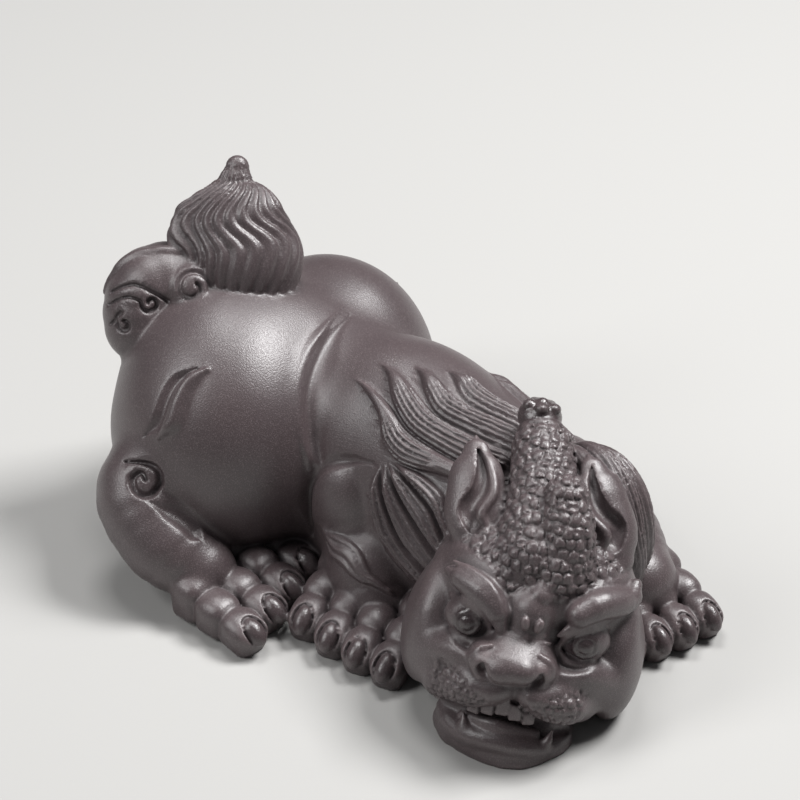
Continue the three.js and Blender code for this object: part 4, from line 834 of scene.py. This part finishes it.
def tuft():
    mass = Mass(0.5, tuftFrame)
    w = tuftSizes["width"] / 2
    flat = tuftSizes["depth"] / tuftSizes["width"]
    mass.limb(1, [[0.8, -6.5, 0], [0.8, -2, 0], [0.2, 4, 0], [0, 9.5, 0], [1.2, 13.4, 0], [2.3, 17, 0]],
        [w * 0.58, w * 0.96, w * 0.86, w * 0.46, w * 0.3, w * 0.2], flat, 14)
    mass.limb(2.5, [[-5.5, -2, 0], [-9.4, 2.6, 0], [-8.6, 7.6, 0], [-2.4, 12, 0]],
        [w * 0.3, w * 0.42, w * 0.36, w * 0.14], flat)
    mass.carve(StrandsAround(tuftFrame, tuftSizes["strands"], flat, tuftSizes["parting"]))
    return mass


masses = [
    trunk(),
    paw([-43, 10.6, 0], [-19, 15, 0], [-0.12, -1, 0]),
    paw([-32.6, 3.2, 0], [-35.2, -18.5, 0], [-0.97, -0.2, 0]),
    paw([-4, -53.4, 0], [13.5, -60.8, 0], [-0.4, -0.92, 0]),
    paw([19.5, 13.5, 0], [43, 11, 0], [0.1, -1, 0]),
    headMass(),
    horn(),
    ear([12, 3, 14.5], [15.5, -6.6, 28.7], [0.2, 0.85, 0.45], 1),
    ear([-13.5, 2, 16], [-6.4, -6.5, 30.4], [-0.35, 0.85, 0.3], -1),
    tail(),
    tuft(),
]
for mass in masses:
    mass.close()
print("forms placed")


def figureField(p):
    p = np.asarray(p, np.float32)
    d = filled(p, farOff)
    for mass in masses:
        gap = gapTo(mass, p)
        near = np.flatnonzero(gap < d + mass.blend)
        if len(near):
            d[near] = join(d[near], mass.distance(p[near]), mass.blend)
    return np.maximum(d, -p[:, 2])


# The skin: a grid of samples, coarse away from the surface, and a net drawn over it

skin = {
    "pitch": 0.38,    # mm from one sample to the next
    "corner": (-56, -76), "span": (112, 152, 84), "triangles": 195000,
    "slack": 2.8,     # half sides from a block's middle within which the skin may pass
    "probe": 1.2,     # mm in and out from the skin, to tell hollow from proud
}


def indexOf(cells):
    return tuple(np.moveaxis(cells, -1, 0))


def sampleGrid(field, pitch):
    low = np.array([*skin["corner"], -1.5 * pitch])
    count = [8 * ceil(v / pitch / 8) for v in skin["span"]]
    values = np.empty(count, np.float32)
    starts = cubeOf(max(count) // 8) * 8
    starts = starts[(starts < count).all(axis=1)]
    # blocks of 8, 2 and 1 cells a side: only those near the surface are opened further
    for size, inner in ((8, 2), (2, 1)):
        offsets = cubeOf(size)
        near = []
        for chunk in np.array_split(starts, max(1, len(starts) // 200000)):
            d = field(low + (chunk + (size - 1) / 2) * pitch)
            values[indexOf(chunk[:, None, :] + offsets[None])] = d[:, None]
            near.append(chunk[np.abs(d) < (size - 1) / 2 * pitch * skin["slack"] + 2 * pitch])
        starts = (np.concatenate(near)[:, None, :] + inner * cubeOf(size // inner)[None]).reshape(-1, 3)
    for chunk in np.array_split(starts, max(1, len(starts) // 400000)):
        values[indexOf(chunk)] = field(low + chunk * pitch)
    return values, low


cornerSteps = np.array([(n & 1, n >> 1 & 1, n >> 2 & 1) for n in range(8)])
cellEdges = [(a, a | bit) for a in range(8) for bit in (1, 2, 4) if not a & bit]


def cellCodes(values):
    inside = values < 0
    nx, ny, nz = [n - 1 for n in values.shape]
    codes = np.zeros((nx, ny, nz), np.uint8)
    for n, (a, b, c) in enumerate(cornerSteps):
        codes |= inside[a:a + nx, b:b + ny, c:c + nz].astype(np.uint8) << n
    return codes


def hangsTogether(code):
    for want in (1, 0):
        group = list(range(8))
        for _ in range(4):
            for a, b in cellEdges:
                if code >> a & 1 == want and code >> b & 1 == want:
                    group[a] = group[b] = min(group[a], group[b])
        if len({group[n] for n in range(8) if code >> n & 1 == want}) > 1:
            return False
    return True


def closePinches(values):
    # fills the corners where the skin would touch itself
    simple = np.array([hangsTogether(code) for code in range(256)])
    for _ in range(12):
        cells = np.argwhere(~simple[cellCodes(values)])
        if not len(cells):
            break
        corners = cells[:, None, :] + cornerSteps[None]
        v = values[indexOf(corners)]
        v = np.where((v < 0) | (corners[..., 2] < 2), np.inf, v)
        pick = corners[np.arange(len(cells)), v.argmin(axis=1)][v.min(axis=1) < np.inf]
        if not len(pick):
            break
        values[indexOf(pick)] = -0.02
    print("pinches left", len(cells))


def netOver(values, low, pitch):
    codes = cellCodes(values)
    cells = np.argwhere((codes != 0) & (codes != 255))
    vertexOf = np.full(codes.shape, -1, np.int32)
    vertexOf[indexOf(cells)] = np.arange(len(cells))
    total = np.zeros((len(cells), 3))
    crossings = np.zeros(len(cells))
    for m, n in cellEdges:
        start, end = cornerSteps[m], cornerSteps[n]
        a, b = cells + start, cells + end
        va, vb = values[indexOf(a)], values[indexOf(b)]
        crossed = (va < 0) != (vb < 0)
        t = (va / np.where(crossed, va - vb, 1))[:, None]
        total += np.where(crossed[:, None], start + (end - start) * t, 0)
        crossings += crossed
    places = low + (cells + total / crossings[:, None]) * pitch
    inside = values < 0
    axes = np.eye(3, dtype=int)
    triangles = []
    for axis in range(3):
        ahead = np.roll(inside, -1, axis)
        edges = np.argwhere(inside != ahead)
        edges = edges[(edges > 0).all(axis=1) & (edges < np.array(values.shape) - 1).all(axis=1)]
        u, v = axes[(axis + 1) % 3], axes[(axis + 2) % 3]
        ring = [vertexOf[indexOf(edges - s)] for s in (0 * u, u, u + v, v)]
        out = inside[indexOf(edges)][:, None]
        quad = np.where(out, np.stack(ring, 1), np.stack(ring[::-1], 1))
        triangles += [quad[:, [0, 1, 2]], quad[:, [0, 2, 3]]]
    return places, np.concatenate(triangles)


def largestShell(places, triangles):
    # numbers each vertex by the lowest one joined to it, and keeps the commonest number
    label = np.arange(len(places))
    a, b = np.concatenate([triangles[:, [0, 1]], triangles[:, [1, 2]], triangles[:, [2, 0]]]).T
    while True:
        low = np.minimum(label[a], label[b])
        new = label.copy()
        np.minimum.at(new, label[a], low)
        np.minimum.at(new, label[b], low)
        new = new[new]
        if (new == label).all():
            break
        label = new[new]
    kept = label == np.bincount(label).argmax()
    slot = np.cumsum(kept) - 1
    return places[kept], slot[triangles[kept[triangles[:, 0]]]]


def drawToSurface(field, places, pitch):
    # lays the underside flat, and moves the rest along the slope of the field
    flat = places[:, 2] < pitch * 0.3
    places[flat, 2] = 0
    nudge, longest, clearance = 0.06, 0.35 * pitch, 0.08
    for _ in range(2):
        d = field(places)
        slope = np.zeros_like(places)
        for axis in range(3):
            step = np.zeros(3)
            step[axis] = nudge
            slope[:, axis] = (field(places + step) - d) / nudge
        move = np.clip(-d / np.maximum(0.3, (slope ** 2).sum(axis=1)), -longest, longest)
        places = np.where(flat[:, None], places, places + move[:, None] * slope)
    places[~flat, 2] = np.maximum(places[~flat, 2], clearance)
    return places


def addObject(name, data):
    added = bpy.data.objects.new(name, data)
    bpy.context.collection.objects.link(added)
    return added


def meshFrom(places, triangles):
    mesh = bpy.data.meshes.new("rough_skin")
    mesh.vertices.add(len(places))
    mesh.vertices.foreach_set("co", np.asarray(places, np.float32).ravel())
    mesh.loops.add(triangles.size)
    mesh.loops.foreach_set("vertex_index", np.asarray(triangles, np.int32).ravel())
    mesh.polygons.add(len(triangles))
    mesh.polygons.foreach_set("loop_start", np.arange(0, triangles.size, 3, dtype=np.int32))
    mesh.update(calc_edges=True)
    return mesh


values, low = sampleGrid(figureField, skin["pitch"])
print("grid sampled", values.shape)
closePinches(values)
places, triangles = netOver(values, low, skin["pitch"])
places, triangles = largestShell(places, triangles)
places = drawToSurface(figureField, places, skin["pitch"])
print("net drawn", len(places), len(triangles))

rough = addObject("rough_skin", meshFrom(places, triangles))
thin = rough.modifiers.new("thin", "DECIMATE")
thin.ratio = skin["triangles"] / len(triangles)
bpy.context.view_layer.update()
evaluated = rough.evaluated_get(bpy.context.evaluated_depsgraph_get())
finalMesh = bpy.data.meshes.new_from_object(evaluated)
bpy.data.objects.remove(rough)
finalMesh.name = "clay_pixiu"
print("skin thinned", len(finalMesh.polygons))

# How hollow, how proud and how glossy each place is, then the spread to the real size; hollowness drives the
# painted shade
co = np.empty(len(finalMesh.vertices) * 3, np.float32)
normals = np.empty_like(co)
finalMesh.vertices.foreach_get("co", co)
finalMesh.vertex_normals.foreach_get("vector", normals)
co, normals, probe = co.reshape(-1, 3), normals.reshape(-1, 3), skin["probe"]
shine = np.zeros(len(co))
for place, reach, gloss in polished:
    shine = np.maximum(shine, gloss * (1 - ease(reach * 0.75, reach, lengths(co - place))))
for name, value in (
    ("hollow", np.clip(1 - figureField(co + normals * probe) / probe, 0, 1)),
    ("proud", np.clip(1 + figureField(co - normals * probe) / probe, 0, 1)),
    ("shine", shine),
):
    finalMesh.attributes.new(name, "FLOAT", "POINT").data.foreach_set("value", value.astype(np.float32))
lowest, highest = co.min(axis=0), co.max(axis=0)
print("drawn box", highest - lowest)
co = cadLow + (co - lowest) / (highest - lowest) * (cadHigh - cadLow)
finalMesh.vertices.foreach_set("co", co.astype(np.float32).ravel())
finalMesh.polygons.foreach_set("use_smooth", np.ones(len(finalMesh.polygons), bool))
finalMesh.update()
figure = addObject("clay_pixiu", finalMesh)


# Materials

def linear(hexCode):
    rgb = [int(hexCode[i:i + 2], 16) / 255 for i in (1, 3, 5)]
    return (*[c / 12.92 if c <= 0.04045 else ((c + 0.055) / 1.055) ** 2.4 for c in rgb], 1)


# sockets of a Mix node, for colours and for plain values
mixBelow, mixAbove, mixResult = 6, 7, 2
plainBelow, plainAbove, plainResult = 2, 3, 0


def addNode(tree, kind, settings=None, links=None):
    node = tree.nodes.new(kind)
    for key, value in (settings or {}).items():
        if isinstance(key, str) and hasattr(node, key):
            setattr(node, key, value)
        else:
            node.inputs[key].default_value = value
    for key, source in (links or {}).items():
        tree.links.new(source, node.inputs[key])
    return node


def stretched(tree, value, low, high, bottom, top):
    ends = {"From Min": low, "From Max": high, "To Min": bottom, "To Max": top}
    return addNode(tree, "ShaderNodeMapRange", ends, {"Value": value}).outputs["Result"]


def laidOver(tree, below, colour, value, low, high, most):
    node = addNode(tree, "ShaderNodeMix", {"data_type": "RGBA", mixAbove: linear(colour)},
                   {mixBelow: below, "Factor": stretched(tree, value, low, high, 0, most)})
    return node.outputs[mixResult]


# Unglazed stoneware: purple-brown with a sandy grain, glossier where polished, duller deep in the carving,
# with painted shade darkening the hollows and lighter proud edges
clay = {
    "base": "#443b3d", "warm": "#4c4142", "sand": "#7d7273",
    # deep: painted shade for the hollows of the carving
    "rubbed": "#77696a", "deep": "#2a2224", "polished": "#231b1d",
    "grain": 0.25,    # mm across one grain of sand
    "cloud": 16,      # mm across a soft change of tone
    "roughness": {"open": 0.37, "deep": 0.6, "polished": 0.22},
}


def clayMaterial():
    material = bpy.data.materials.new("zisha_stoneware")
    material.use_nodes = True
    tree = material.node_tree
    tree.nodes.clear()
    place = addNode(tree, "ShaderNodeTexCoord").outputs["Object"]
    cloud, grain = [
        addNode(tree, "ShaderNodeTexNoise", {"Scale": 1000 / clay[name], "Detail": detail},
                {"Vector": place}).outputs["Fac"] for name, detail in (("cloud", 3.0), ("grain", 1.0))]
    hollowHere, proudHere, shineHere = [
        addNode(tree, "ShaderNodeAttribute", {"attribute_name": name}).outputs["Fac"]
        for name in ("hollow", "proud", "shine")]
    tones = {"data_type": "RGBA", mixBelow: linear(clay["base"]), mixAbove: linear(clay["warm"])}
    colour = addNode(tree, "ShaderNodeMix", tones, {"Factor": cloud}).outputs[mixResult]
    colour = laidOver(tree, colour, clay["sand"], grain, 0.5, 0.75, 0.4)
    # lighter on proud edges and ridges
    colour = laidOver(tree, colour, clay["rubbed"], proudHere, 0.25, 0.9, 0.35)
    # painted shade: darker deep in the hollows of the carving
    colour = laidOver(tree, colour, clay["deep"], hollowHere, 0.15, 0.8, 0.6)
    colour = laidOver(tree, colour, clay["polished"], shineHere, 0, 1, 0.55)
    rough = clay["roughness"]
    dull = stretched(tree, hollowHere, 0, 0.7, rough["open"], rough["deep"])
    even = addNode(tree, "ShaderNodeMix", {"data_type": "FLOAT", plainAbove: rough["polished"]},
                   {"Factor": shineHere, plainBelow: dull})
    bump = addNode(tree, "ShaderNodeBump", {"Strength": 0.6, "Distance": 0.0001}, {"Height": grain})
    links = {"Base Color": colour, "Roughness": even.outputs[plainResult],
             "Normal": bump.outputs["Normal"]}
    shader = addNode(tree, "ShaderNodeBsdfPrincipled", {"IOR": 1.55, "Specular IOR Level": 0.65}, links)
    addNode(tree, "ShaderNodeOutputMaterial", links={"Surface": shader.outputs["BSDF"]})
    return material


figure.data.materials.append(clayMaterial())
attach(figure, "root")
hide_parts("pixiu_figure")
print("figure finished")


# Stage, light and camera

studio = {
    "floor": "#a9a8a6", "halfFloor": 3.0, "sky": "#dfe3e8", "skyStrength": 0.1, "aim": (0, 0, 0.03),
    # each light's azimuth, elevation, distance, sides and power
    "lights": {
        "key": (52, 58, 0.9, (0.3, 0.3), 12),
        "left": (-125, 42, 1.0, (0.3, 0.6), 5),
        "top": (140, 76, 1.0, (0.35, 0.3), 5),
    },
}
view = {"azimuth": -55, "elevation": 35, "place": (-0.38412, -0.26572, 0.36582), "lens": 130.95}


def directionTo(azimuth, elevation):
    a, e = radians(azimuth), radians(elevation)
    return np.array([sin(a) * cos(e), -cos(a) * cos(e), sin(e)])


def stageFloor():
    mesh = bpy.data.meshes.new("pale_floor")
    s = studio["halfFloor"]
    mesh.from_pydata([(-s, -s, 0), (s, -s, 0), (s, s, 0), (-s, s, 0)], [], [(0, 1, 2, 3)])
    material = bpy.data.materials.new("pale_backdrop_paper")
    material.use_nodes = True
    shader = material.node_tree.nodes["Principled BSDF"]
    shader.inputs["Base Color"].default_value = linear(studio["floor"])
    shader.inputs["Roughness"].default_value = 0.9
    mesh.materials.append(material)
    floor = addObject("pale_floor", mesh)


def areaLight(name, azimuth, elevation, distance, sides, power):
    data = bpy.data.lights.new(name, "AREA")
    data.shape = "RECTANGLE"
    data.size, data.size_y = sides
    data.energy = power
    light = addObject(name, data)
    back = directionTo(azimuth, elevation)
    light.location = back * distance + np.array(studio["aim"])
    light.rotation_mode = "QUATERNION"
    light.rotation_quaternion = Vector(-back).to_track_quat("-Z", "Y")


def addCamera():
    data = bpy.data.cameras.new("camera")
    data.sensor_width = 36
    data.lens = view["lens"]
    data.clip_start, data.clip_end = 0.05, 20
    camera = addObject("camera", data)
    back = directionTo(view["azimuth"], view["elevation"])
    a = radians(view["azimuth"])
    right = np.array([cos(a), sin(a), 0])
    camera.matrix_world = Matrix(matrixOf(right, np.cross(back, right), back, view["place"]).tolist())
    bpy.context.scene.camera = camera


stageFloor()
addCamera()
for name, values in studio["lights"].items():
    areaLight(name, *values)
backdrop = bpy.data.worlds.new("studio")
bpy.context.scene.world = backdrop
backdrop.use_nodes = True
sky = backdrop.node_tree.nodes["Background"]
sky.inputs["Color"].default_value = linear(studio["sky"])
sky.inputs["Strength"].default_value = studio["skyStrength"]
bpy.context.scene.view_settings.view_transform = "Standard"
